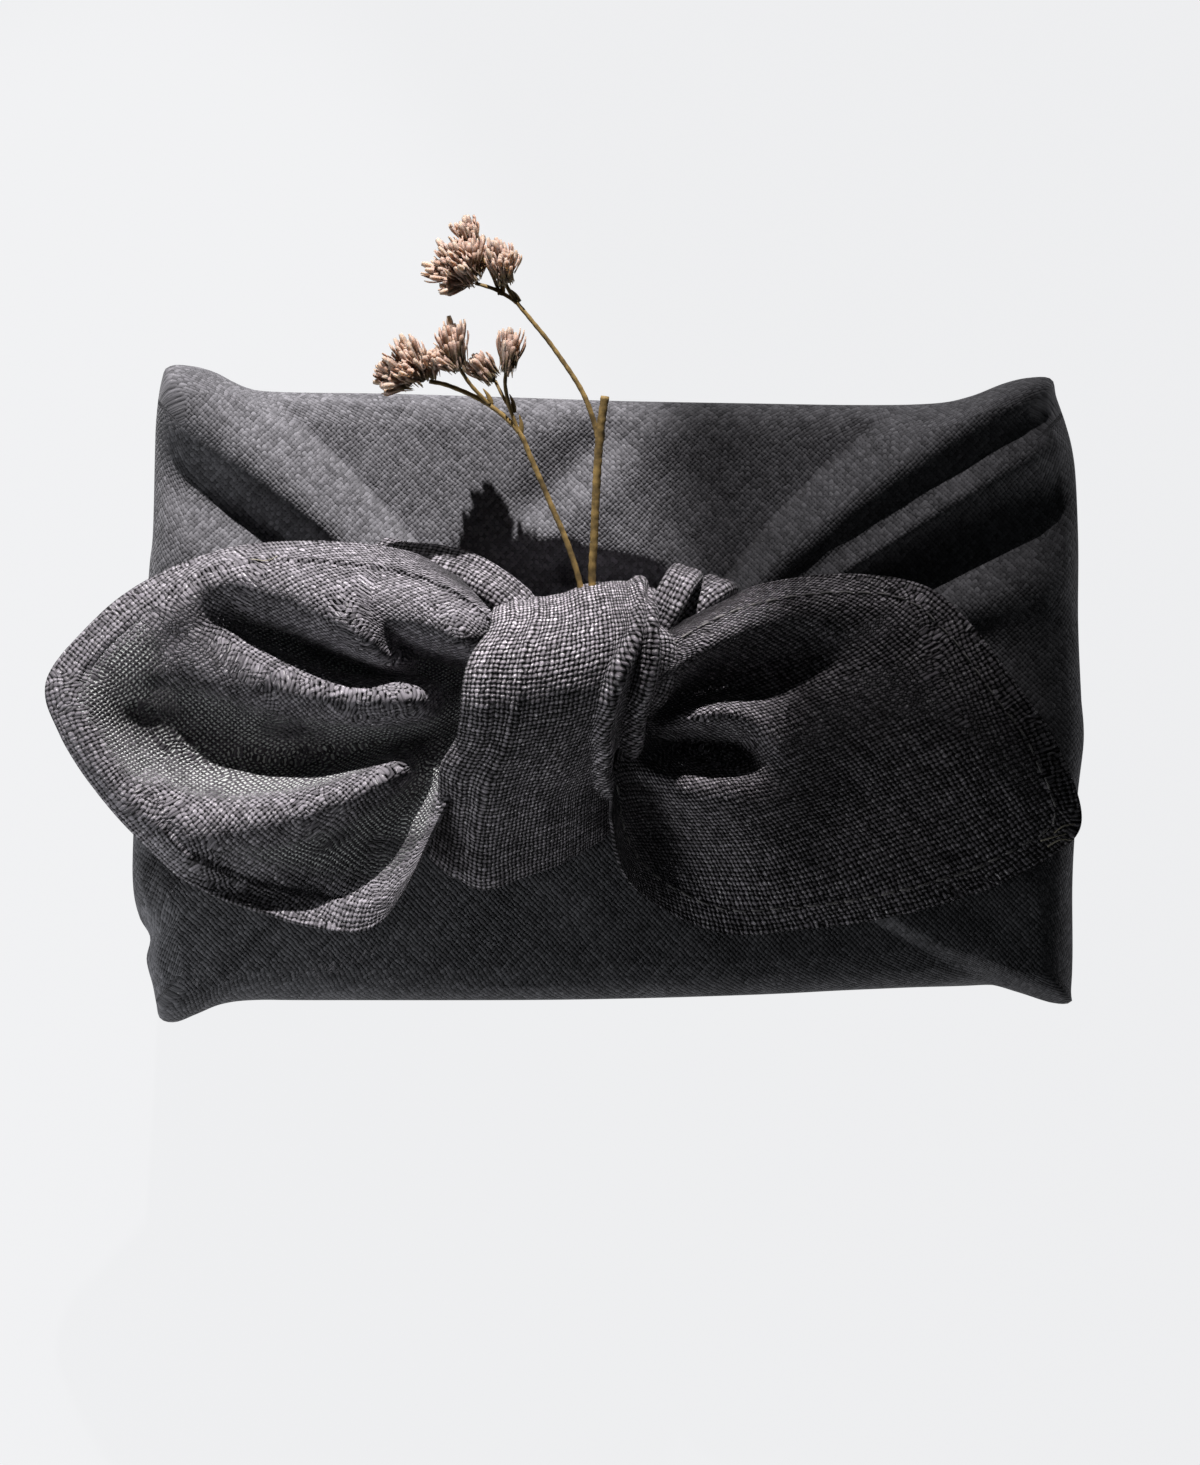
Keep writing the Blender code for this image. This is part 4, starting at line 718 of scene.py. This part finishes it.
def end_grid(end, rows, columns):
    """Grid of a free end: rows from the gather to the hem, columns from the far side round the tip."""
    share = shares(columns)
    edge = curve_through(end.outline, share)
    start = mix(np.array(end.root[0]), np.array(end.root[1]), share[:, None])
    out = shares(rows) ** ROW_SPACING
    plan = start + (edge - start) * out[:, None, None]
    height = folded_height(end.folds)(plan[..., 0], plan[..., 1])
    return np.concatenate([plan, height[..., None]], axis=2)


def end_map(end):
    """A free end's weave map on a coarse grid: both hems lie along the axes, and the rest eases between."""
    rows, columns = 36, 97
    points = end_grid(end, rows, columns)
    run = run_length(points[-1])
    middle = np.interp(end.tip * (columns - 1), np.arange(columns), run)
    hem = np.stack([np.maximum(middle - run, 0.0), np.maximum(run - middle, 0.0)], axis=1)
    reach, share = 0.5 * hem.max(), shares(columns)[:, None]
    gather = np.array([1.25, 0.75]) * reach * (1 - share) + np.array([0.75, 1.25]) * reach * share
    out = shares(rows)[:, None, None] ** ROW_SPACING
    held = np.zeros((rows, columns), bool)
    held[-1] = True
    return lay_flat(points, gather + (hem - gather) * out, held)


def edge_map(points):
    """How far each point of a free end lies from its hem edge, square to it."""
    steps = np.linalg.norm(np.diff(points[::-1], axis=0), axis=2)
    inward = np.concatenate([np.zeros((1, points.shape[1])), np.cumsum(steps, axis=0)])[::-1]
    along, down = np.gradient(points[-1], axis=0), points[-12] - points[-1]
    square = np.linalg.norm(np.cross(along, down), axis=1)
    square /= np.linalg.norm(along, axis=1) * np.linalg.norm(down, axis=1)
    return inward * np.convolve(np.pad(square, 4, mode="edge"), np.ones(9) / 9, mode="valid")


def make_free_end(name, end, material):
    """A free end, thicker along its hem. Its edge map has the way in from the hem, and where shade and
    daylight are painted.
    """
    rows, columns = 150, 250
    points = end_grid(end, rows, columns)
    points[..., 2] += ripple(points, 14.0, 0.55, end.seed) + ripple(points, 5.0, 0.28, end.seed + 7)
    flat = finer(end_map(end), rows, columns)
    x, y, z = np.moveaxis(points, 2, 0)
    inward = edge_map(points)
    # Painted shade, with painted daylight specks, goes on the low cloth away from the hem and on the west tip.
    hollow = smooth((HOLLOW_BELOW - z) / 2.6) * smooth((inward - 8.0) / 5.0)
    painted_light_tip = smooth((PAINTED_LIGHT_WEST_OF - x) / 4) * smooth((14 - y) / 6) * smooth((17 + y) / 6)
    hollow = np.maximum(hollow, painted_light_tip * smooth((inward - 5.2) / 3.0))
    edge = np.stack([inward, hollow], axis=2)
    thickness = 0.5 + 0.5 * (1.0 - smooth((inward - HEM_WIDTH) / HEM_STEP))
    piece = cloth_piece(name, points, flat, edge, thickness, material)
    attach(piece, "root")
    return seam_on(points, np.argmin(np.abs(inward - SEAM_FROM_EDGE), axis=0))


# ======== the knot
KNOT_TURNS = table(
    "KnotTurn", "down height",                # down: 0 at the far edge, 1 at the near one
    (0, 57), (0.015, 63), (0.09, 68.6), (0.2, 71.9), (0.33, 71.4), (0.47, 67.4), (0.61, 62), (0.75, 56.2),
    (0.87, 51), (0.97, 46.6), (1, 44.4), (0.95, 42.7), (0.75, 41.8), (0.4, 41.6), (0.15, 43.2),
    (0.03, 49.5), (0, 57))
KNOT_SIDES = table(
    "KnotSide", "down west east",
    (0, -21, 6.4), (0.08, -21.3, 7.5), (0.18, -24.6, 9.9), (0.28, -26.1, 10.2), (0.42, -26.6, 8.3),
    (0.52, -27.4, 5.6), (0.62, -29.9, 3.4), (0.73, -30.4, -0.2), (0.85, -31.3, -1.1), (1, -32, -1))
KNOT_ENDS = table(
    "KnotEnd", "across far near crown",
    (-1, 15, -26.6, 0.91), (-0.85, 15.8, -28.8, 0.97), (-0.7, 16.4, -30.4, 1), (-0.45, 17, -32.4, 1),
    (-0.05, 17.9, -30.4, 1), (0.4, 19.8, -28.2, 1), (0.8, 19.2, -24.4, 0.93), (1, 16.6, -21.6, 0.74))


KNOT_PLEATS = table(
    "Pleat", "height width path",
    (-2.1, 0.07, ((0, 0.8), (0.1, 0.72), (0.3, 0.47), (0.4, 0.42), (0.52, 0.5), (0.64, 0.68),
        (0.75, 0.86), (1, 1.25))),
    (1.1, 0.085, ((0, 0.86), (0.18, 0.63), (0.42, 0.62), (0.6, 0.8), (0.75, 1), (1, 1.3))),
    (-1.8, 0.06, ((0, 0.94), (0.18, 0.74), (0.42, 0.76), (0.6, 0.93), (0.75, 1.1), (1, 1.4))),
    (1, 0.07, ((0, 1.02), (0.18, 0.84), (0.42, 0.88), (0.6, 1.03), (1, 1.5))),
    (-0.5, 0.2, ((0, 0.1), (0.3, -0.05), (0.6, 0.1), (1, 0.2))),
    (-0.25, 0.05, ((0, -0.48), (0.3, -0.47), (0.5, -0.53), (0.8, -0.56), (1, -0.75))))


def knot_grid(around, across, girth=1.0):
    """Points of the band: it goes round over the far edge, down the front and back under."""
    turn = curve_through(KNOT_TURNS, shares(around))
    down, height = np.clip(turn[:, 0], 0.0, 1.0)[None, :], turn[:, 1][None, :]
    a = np.linspace(-1.0, 1.0, across)[:, None]
    sides, ends = np.array(KNOT_SIDES).T, np.array(KNOT_ENDS).T
    west, east = (curve_value(sides[0], values, down) for values in sides[1:])
    far, near, crown = (curve_value(ends[0], values, a) for values in ends[1:])
    middle_y, middle_z, back_z = mix(far, near, 0.5), 55.0, 43.0
    y = middle_y + (mix(far, near, down) - middle_y) * girth
    z = back_z + (height - back_z) * np.where(height > back_z, crown, 1.0)
    z = middle_z + (z - middle_z) * girth
    points = np.stack([mix(west, east, (a + 1) / 2), y, z], axis=2)
    front = smooth((height - 47.0) / 8.0)
    rise = sum(bump(pleat.height, a - np.interp(down, *np.array(pleat.path).T), pleat.width) * front
               for pleat in KNOT_PLEATS)
    return points - grid_normals(points, True) * (rise * girth)[..., None]


def curve_value(places, values, at):
    """A smooth curve through values at places, read at other places."""
    dense = curve_through(np.stack([places, values], axis=1), shares(40 * len(places)))
    return np.interp(at, dense[:, 0], dense[:, 1])


def make_knot():
    """The band that closes the knot, and the plain bunch of cloth that fills it."""
    around, across = 261, 121
    points = knot_grid(around, across)
    length_round, length_across = run_length(points[across // 2]), run_length(points[:, around // 4])
    flat = np.stack(np.meshgrid(length_across, length_round + 200.0, indexing="ij"), axis=2)
    dents = ripple(points, 11.0, 0.5, 5.0) + ripple(points, 4.5, 0.22, 8.0)
    points = points + grid_normals(points, True) * dents[..., None]
    thickness = 0.9 + 0.5 * (1.0 - smooth((flat[..., 0] - HEM_WIDTH) / HEM_STEP))
    band = cloth_piece("wrapped_knot", points, flat, flat, thickness, LINEN_BAND, closed=True, up=-1.0)
    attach(band, "root")
    around, across = 65, 33
    core = knot_grid(around, across, 0.80)
    ends = np.repeat(core.mean(axis=1)[:, None], around, axis=1)
    core = np.concatenate([ends[:1], core, ends[-1:]])
    lengths = np.linspace(0, 36, across + 2) + 300, np.linspace(0, 100, around)
    flat = np.stack(np.meshgrid(*lengths, indexing="ij"), axis=2)
    bunch = new_piece("knot_core", core.reshape(-1, 3), grid_quads(across + 2, around).tolist(), LINEN_BODY,
                      flat.reshape(-1, 2))
    tidy_mesh(bunch)
    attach(bunch, "root")
    return points


# ======== tubes: rolled cloth, stalks, threads
def ring_quads(rings, sides):
    """Faces of a tube between its rings of points."""
    turned = [(k, (k + 1) % sides) for k in range(sides)]
    return [[low + k, low + right, low + sides + right, low + sides + k]
            for low in range(0, (rings - 1) * sides, sides) for k, right in turned]


def tube(points, radii, sides, flatten=1.0):
    """A closed tube along a line of points: its vertices, ring by ring and then both tips, and its faces."""
    points = np.asarray(points, float)
    runs = np.gradient(points, axis=0)
    runs /= np.linalg.norm(runs, axis=1, keepdims=True)
    side = np.cross(runs[0], (0.31, 0.17, 0.94))
    angle = np.linspace(0, 2 * pi, sides, endpoint=False)[:, None]
    rings = []
    for centre, run, radius in zip(points, runs, radii):
        side = side - run * np.dot(side, run)
        side /= np.linalg.norm(side)
        up = np.cross(run, side)
        rings.append(centre + radius * (side * np.cos(angle) + up * np.sin(angle) * flatten))
    vertices = np.concatenate(rings + [points[:1], points[-1:]])
    faces = ring_quads(len(points), sides)
    first, tail = len(points) * sides, (len(points) - 1) * sides
    for k in range(sides):
        right = (k + 1) % sides
        faces += [[first, right, k], [first + 1, tail + k, tail + right]]
    return vertices, faces


class Bundle:
    """Gathers many small shapes into one mesh."""

    def __init__(self):
        self.vertices, self.faces, self.uv, self.count = [], [], [], 0

    def put(self, vertices, faces, uv=None):
        self.faces += [[self.count + k for k in face] for face in faces]
        self.vertices.append(np.asarray(vertices, float))
        self.uv.append(np.zeros((len(vertices), 2)) if uv is None else uv)
        self.count += len(vertices)

    def make(self, name, material):
        vertices, uv = np.concatenate(self.vertices), np.concatenate(self.uv)
        return tidy_mesh(new_piece(name, vertices, self.faces, material, uv), merge=False)


ROLLS = table(
    "Roll", "radius points",
    (2.8, ((4.5, 8, 60.5), (8, 14.5, 63.5), (10.6, 19.4, 62.5), (12, 21.2, 56.5), (12.2, 20.6, 50),
        (12, 18.6, 43))),
    (3, ((8, 9.5, 56.5), (14, 16.4, 57.4), (17.4, 18.9, 54), (18.4, 18.6, 48), (18.2, 17, 42))),
    (4.2, ((-52, 22, 42), (-44, 24.4, 46.5), (-38, 23.2, 49.5), (-31, 22.4, 52), (-25.7, 20.8, 54),
        (-20, 17.4, 56), (-14, 12.4, 57))))


def make_rolls():
    """Bunched cloth behind the knot, where the wings go in under it."""
    bundle, pitch, sides = Bundle(), 0.6, 40
    for number, roll in enumerate(ROLLS):
        line = evenly(curve_through(roll.points, shares(90)), pitch)
        share = shares(len(line))
        radii = roll.radius * (0.86 + 0.14 * np.sin(share * pi))
        radii = radii * np.minimum(1.0, 0.3 + 6 * (1 - share)) ** 0.3
        vertices, faces = tube(line, radii, sides, 0.82)
        around = np.tile(np.arange(sides) / sides * 2 * pi, len(line))
        uv = np.stack([np.repeat(np.arange(len(line)) * pitch, sides), around * roll.radius], axis=1)
        uv = np.concatenate([uv, uv[:1], uv[-1:]]) + 40.0 * (number + 4)
        crease = 1.0 - 0.20 * np.cos(3 * np.concatenate([around, [0, 0]]) + 0.9 * number)
        centre = np.concatenate([np.repeat(line, sides, axis=0), line[:1], line[-1:]])
        bundle.put(centre + (vertices - centre) * crease[:, None], faces, uv)
    rolls = bundle.make("back_rolls", LINEN_ROLL)
    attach(rolls, "root")


# ======== stitches and loose threads


def knot_seam(points, path):
    """A line down the front of the knot's band, along the row of the pleat with this path."""
    front = slice(12, int(0.56 * points.shape[1]))
    down = curve_through(KNOT_TURNS, shares(points.shape[1]))[:, 0]
    across = np.interp(down, *np.array(path).T)
    rows = np.round((across + 1.0) / 2.0 * (len(points) - 1)).astype(int)
    return [values[front] for values in seam_on(points, rows)]


def seam_on(points, rows):
    """The points of a sheet at one row in each column, and the ways it faces there."""
    columns = np.arange(points.shape[1])
    normals = grid_normals(points)[np.clip(rows, 1, len(points) - 2), columns]
    return points[rows, columns], normals * np.where(normals[:, 2:] > 0, 1.0, -1.0)


def stitch(bundle, a, b, normal):
    """One stitch: it comes up out of the cloth, lies on it and goes down again."""
    steps, radius = 7, 0.2
    share = shares(steps)[:, None]
    lift = (0.55 * np.sin(share * pi) ** 0.6 - 0.30) * radius * 2.2
    bundle.put(*tube(a + (b - a) * share + normal * lift, np.full(steps, radius), 6))


def make_stitches(seams):
    """A straight machine stitch along the hems: 2.3 mm on top, 1 mm under."""
    pitch, on_top, repeat = 0.1, 23, 33
    bundle = Bundle()
    for points, normals in seams:
        line = evenly(np.concatenate([points, normals], axis=1), pitch)
        for start in range(50, len(line) - 60, repeat):
            a, b = line[start], line[start + on_top]
            if 1.0 < np.linalg.norm(b[:3] - a[:3]) < 4.0:
                stitch(bundle, a[:3], b[:3], a[3:])
    piece = bundle.make("hem_stitches", THREAD)
    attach(piece, "root")


LOOSE_THREADS = table(
    "LooseThread", "radius points",
    (0.16, ((74, -24.6, 49.4), (76.4, -23.9, 50.1), (78.4, -23.4, 49.9))),
    (0.16, ((75.2, -25.6, 49.2), (77.4, -24.4, 49.9), (79.5, -24.5, 49.3))),
    (0.14, ((76.4, -23.2, 49.5), (78, -22, 50.2), (80, -21.7, 50))),
    (0.13, ((-66.4, 23.3, 57.2), (-64, 24.4, 58.4), (-61, 24.2, 58.6), (-59.2, 25, 57.6))))


def make_loose_threads():
    """Raw ends of yarn that have worked out of the hems."""
    bundle = Bundle()
    for thread in LOOSE_THREADS:
        line = evenly(curve_through(thread.points, shares(30)), 0.3)
        bundle.put(*tube(line, thread.radius * np.linspace(1.0, 0.6, len(line)), 6))
    piece = bundle.make("loose_threads", RAW_THREAD)
    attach(piece, "root")


# ======== the sprigs
WEST_SPRIG = table(
    "Stem", "radius_start radius_end points",
    (0.58, 0.4, ((-5.4, 10, 60.8), (-6.3, 19.3, 61.8), (-8.6, 27, 62.8), (-11.6, 34.1, 63.6),
        (-14.9, 41.8, 64.2), (-17.3, 46.8, 64.6), (-22.6, 51.4, 65.2), (-29, 54.4, 66),
        (-32.6, 55.2, 66.4))),
    (0.38, 0.34, ((-17.1, 46.4, 64.5), (-18.6, 50.6, 65.6), (-19.4, 54.3, 67), (-19.3, 56.6, 67.8))),
    (0.38, 0.34, ((-22.2, 51.2, 65.2), (-25.4, 54.6, 66.6), (-27.2, 57.3, 67.6))),
    (0.34, 0.3, ((-18.3, 50, 65.3), (-20, 53, 64.6), (-21.2, 55.4, 63.9))))
EAST_SPRIG = table(
    "Stem", "radius_start radius_end points",
    (0.7, 0.78, ((-2.9, 10, 60.8), (-4.3, 19.8, 62.2), (-4, 28, 63.6), (-3.6, 37, 65), (-3, 46, 66.4),
        (-2.1, 52.6, 67.3))),
    (0.5, 0.36, ((-3.1, 45, 66.2), (-5.8, 52.9, 67), (-11, 60.9, 67.6), (-14.9, 65.8, 68),
        (-17.8, 69.4, 68.2), (-19.7, 72.7, 68.8))),
    (0.38, 0.33, ((-17.4, 68.9, 68.2), (-20.9, 71, 67.8), (-24.6, 72.2, 67.6))),
    (0.34, 0.3, ((-20.3, 70.3, 67.9), (-22, 74.4, 66.4), (-24.6, 78.6, 65.2))))


def tufts(*rows):
    return table("Tuft", "base direction length width bracts", *rows)


HEADS = {
    "west_flower_1": tufts(
        ((-36, 54.9, 66.4), (-0.82, 0.55, 0.05), 7, 6.6, 34),
        ((-35.6, 55, 66.4), (-0.97, -0.06, 0.1), 6.2, 5.6, 28),
        ((-33.4, 55.4, 66.6), (-0.45, 0.88, 0.12), 8.6, 6.8, 38),
        ((-33.6, 55.3, 66.7), (-0.66, 0.52, 0.54), 7.2, 6.4, 32),
        ((-32, 55.6, 66.6), (-0.12, 0.94, 0.3), 5.6, 5.6, 28)),
    "west_flower_2": tufts(
        ((-19.2, 56.3, 67.8), (0.13, 0.98, 0.1), 8.2, 5.6, 42)),
    "west_flower_3": tufts(
        ((-27.5, 57, 67.6), (-0.16, 0.97, 0.15), 8.8, 6.6, 44),
        ((-27.6, 57.1, 67.6), (-0.78, 0.58, 0.22), 6.6, 6, 32)),
    "west_flower_4": tufts(
        ((-21.3, 55.3, 63.9), (-0.66, 0.74, 0.05), 6.4, 6.4, 40)),
    "east_flower_5": tufts(
        ((-19.4, 72.2, 68.8), (-0.24, 0.96, 0.12), 8, 7.2, 46),
        ((-19.3, 72.2, 68.9), (-0.02, 0.88, 0.44), 6.6, 5.8, 30),
        ((-19.4, 72.4, 68.4), (-0.1, 0.76, -0.64), 7.6, 6.2, 32)),
    "east_flower_6": tufts(
        ((-25.2, 73.1, 67.6), (-0.1, 0.98, 0.12), 7.8, 6.6, 38),
        ((-25.3, 73, 67.7), (-0.64, 0.76, 0.08), 8.8, 7, 42),
        ((-25.3, 72.9, 67.6), (-0.96, 0.26, 0.05), 8.2, 6.2, 34),
        ((-25.2, 72.9, 67.8), (-0.5, 0.52, 0.6), 7.2, 6.6, 34),
        ((-25.1, 72.8, 67.5), (-0.94, -0.2, 0.1), 6.4, 5.4, 26),
        ((-25.4, 73, 67), (-0.52, 0.62, -0.58), 8.4, 7.4, 36),
        ((-25, 73.2, 67), (0.05, 0.78, -0.62), 8, 6.6, 34)),
    "east_flower_7": tufts(
        ((-24.8, 78, 65.2), (-0.3, 0.94, 0.05), 6.6, 5.8, 40))}


def make_sprig(name, stems):
    """The stalks of a sprig. Each side stalk has a small leaf at its root."""
    bundle = Bundle()
    for stem in stems:
        line = evenly(curve_through(stem.points, shares(60)), 0.5)
        share = shares(len(line))
        radii = mix(stem.radius_start, stem.radius_end, share) * (1.0 + 0.35 * np.exp(-(share / 0.04) ** 2))
        radii *= 1.0 + 0.06 * np.sin(np.arange(len(line)) * 1.7)
        bundle.put(*tube(line, radii, 10, 0.9))
        if stem is not stems[0]:
            root, run = line[0], line[4] - line[0]
            run = run / np.linalg.norm(run)
            off = np.cross(run, (0, 0, 1.0))
            leaf = [root - run * 0.4 + off * 0.3, root + run * 1.3 + off * 1.0, root + run * 2.9 + off * 1.2]
            places = shares(9)
            wide = np.interp(places, (0, 0.3, 1), (0.4, 0.5, 0.06))
            bundle.put(*tube(curve_through(leaf, places), wide, 8, 0.4))
    piece = bundle.make(name + "_stalks", STALK)
    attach(piece, "root")
    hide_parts(name)


def bract(bundle, base, axis, out, length, width, lean, chance, tones):
    """One narrow bract, cupped, that leans out from the tuft's axis; tones are its lowest and highest."""
    side = np.cross(axis, out)
    steps = shares(6)
    bend = np.tan(lean) * (1.25 * steps - 0.45 * steps ** 3)
    centre = base + length * (axis * steps[:, None] + out * bend[:, None])
    half = width * np.interp(steps, (0, 0.2, 0.55, 0.85, 1), (0.25, 0.55, 0.9, 1.05, 0.62))
    rows = []
    for middle, wide in zip(centre, half):
        rows += [middle - side * wide, middle + out * wide * 0.45]
        rows += [middle + side * wide, middle - out * wide * 0.12]
    faces = ring_quads(6, 4) + [[0, 1, 2, 3], [20, 23, 22, 21]]
    uv = np.stack([np.full(24, chance), np.repeat(mix(*tones, steps), 4)], axis=1)
    bundle.put(rows, faces, uv)


def tuft_shapes(bundle, tuft, seed):
    """One tuft: a cone of narrow bracts at the foot, and short blunt petals crowded over its top."""
    golden = pi * (3.0 - 5.0 ** 0.5)
    axis = np.array(tuft.direction) / np.linalg.norm(tuft.direction)
    side = np.cross(axis, (0.1, 0.2, 1.0))
    side /= np.linalg.norm(side)
    other = np.cross(axis, side)
    base, long, wide = np.array(tuft.base), tuft.length, tuft.width
    petal_count, foot_count = int(2.6 * tuft.bracts), 16
    for k in range(petal_count + foot_count):
        chance, second = (noise.cell(Vector((seed * 1.37, k * 2.11, level))) for level in (0.5, 7.5))
        spin = golden * k + chance
        out = side * cos(spin) + other * sin(spin)
        if k < foot_count:
            lean = np.arctan(0.56 * wide / long) * (0.8 + 0.3 * second)
            bract(bundle, base + out * 0.2 - axis * 0.1, axis, out, long * (0.52 + 0.16 * chance), 0.55, lean,
                  chance, (0.0, 0.62))
            continue
        share = (k - foot_count + 0.5) / petal_count
        rise = 0.40 - 0.16 * share + 0.22 * (second - 0.5)
        start = base + axis * long * rise + out * 0.27 * wide * share ** 0.5
        lean = np.arctan(0.40 * wide * share ** 0.6 / long) + 0.34 * (second - 0.5)
        bract(bundle, start, axis, out, long * (0.50 + 0.12 * chance - 0.08 * share), 0.46 + 0.14 * second,
              lean, chance, (0.34, 1.0))


def make_heads():
    for number, (name, head) in enumerate(HEADS.items()):
        bundle = Bundle()
        for place, tuft in enumerate(head):
            tuft_shapes(bundle, tuft, 5 * number + place)
        piece = bundle.make(name + "_bracts", BRACT)
        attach(piece, "root")
        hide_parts(name)


# ======== light and floor
PANES = table("Pane", "name energy spread softness x y",       # each lights a pool round one spot
              ("near", 101.0, 10.0, 0.28, -0.083, 0.040), ("far", 20.0, 4.4, 1.0, 0.041, 0.060),
              ("broken", 60.0, 1.3, 0.5, 0.0155, -0.0105))
SUN_FROM, LIT_HEIGHT = (-0.015, 0.995, 0.497), 0.05            # metres from the lit spot, and above the floor


def add_lamp(lamp, place, target):
    """Put a lamp into the scene, turned to its target."""
    made = bpy.data.objects.new(lamp.name, lamp)
    made.location = place
    made.rotation_euler = (Vector(target) - made.location).to_track_quat("-Z", "Y").to_euler()
    bpy.context.scene.collection.objects.link(made)


def set_light():
    """A low sun from the north that comes in by three panes, a pale wall, and a dim room."""
    scene = bpy.context.scene
    scene.view_settings.view_transform = "Standard"
    scene.world = bpy.data.worlds.new("studio")
    scene.world.use_nodes = True
    room = scene.world.node_tree.nodes["Background"].inputs
    room[0].default_value, room[1].default_value = (0.80, 0.88, 0.90, 1.0), 0.020
    for pane in PANES:
        sun = bpy.data.lights.new("sun through a window, %s pane" % pane.name, "SPOT")
        sun.energy, sun.shadow_soft_size, sun.color = pane.energy, 0.007, (1.0, 0.975, 0.98)
        sun.spot_size, sun.spot_blend = radians(pane.spread), pane.softness
        spot = (pane.x, pane.y, LIT_HEIGHT)
        add_lamp(sun, [here + off for here, off in zip(spot, SUN_FROM)], spot)
    wall = bpy.data.lights.new("pale wall to the west", "AREA")
    wall.energy, wall.size, wall.color = 0.145, 0.08, (0.95, 0.98, 1.0)
    add_lamp(wall, (-0.20, -0.13, 0.10), (-0.08, -0.03, 0.04))


def make_floor():
    bpy.ops.mesh.primitive_plane_add(size=6.0, location=(0.0, 0.0, 0.0))
    floor = bpy.context.object
    floor.name = "floor"
    floor.data.materials.append(studio_floor())


# ======== assembly
make_floor()
set_light()
body = make_body()
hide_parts("cloth")
knot = make_knot()
west_seam = make_free_end("west_end", WEST_END, LINEN_WEST)
east_seam = make_free_end("east_end", EAST_END, LINEN_EAST)
make_rolls()
make_stitches((west_seam, east_seam, knot_seam(knot, KNOT_PLEATS[-1].path)))
make_loose_threads()
make_sprig("west_sprig", WEST_SPRIG)
make_sprig("east_sprig", EAST_SPRIG)
make_heads()
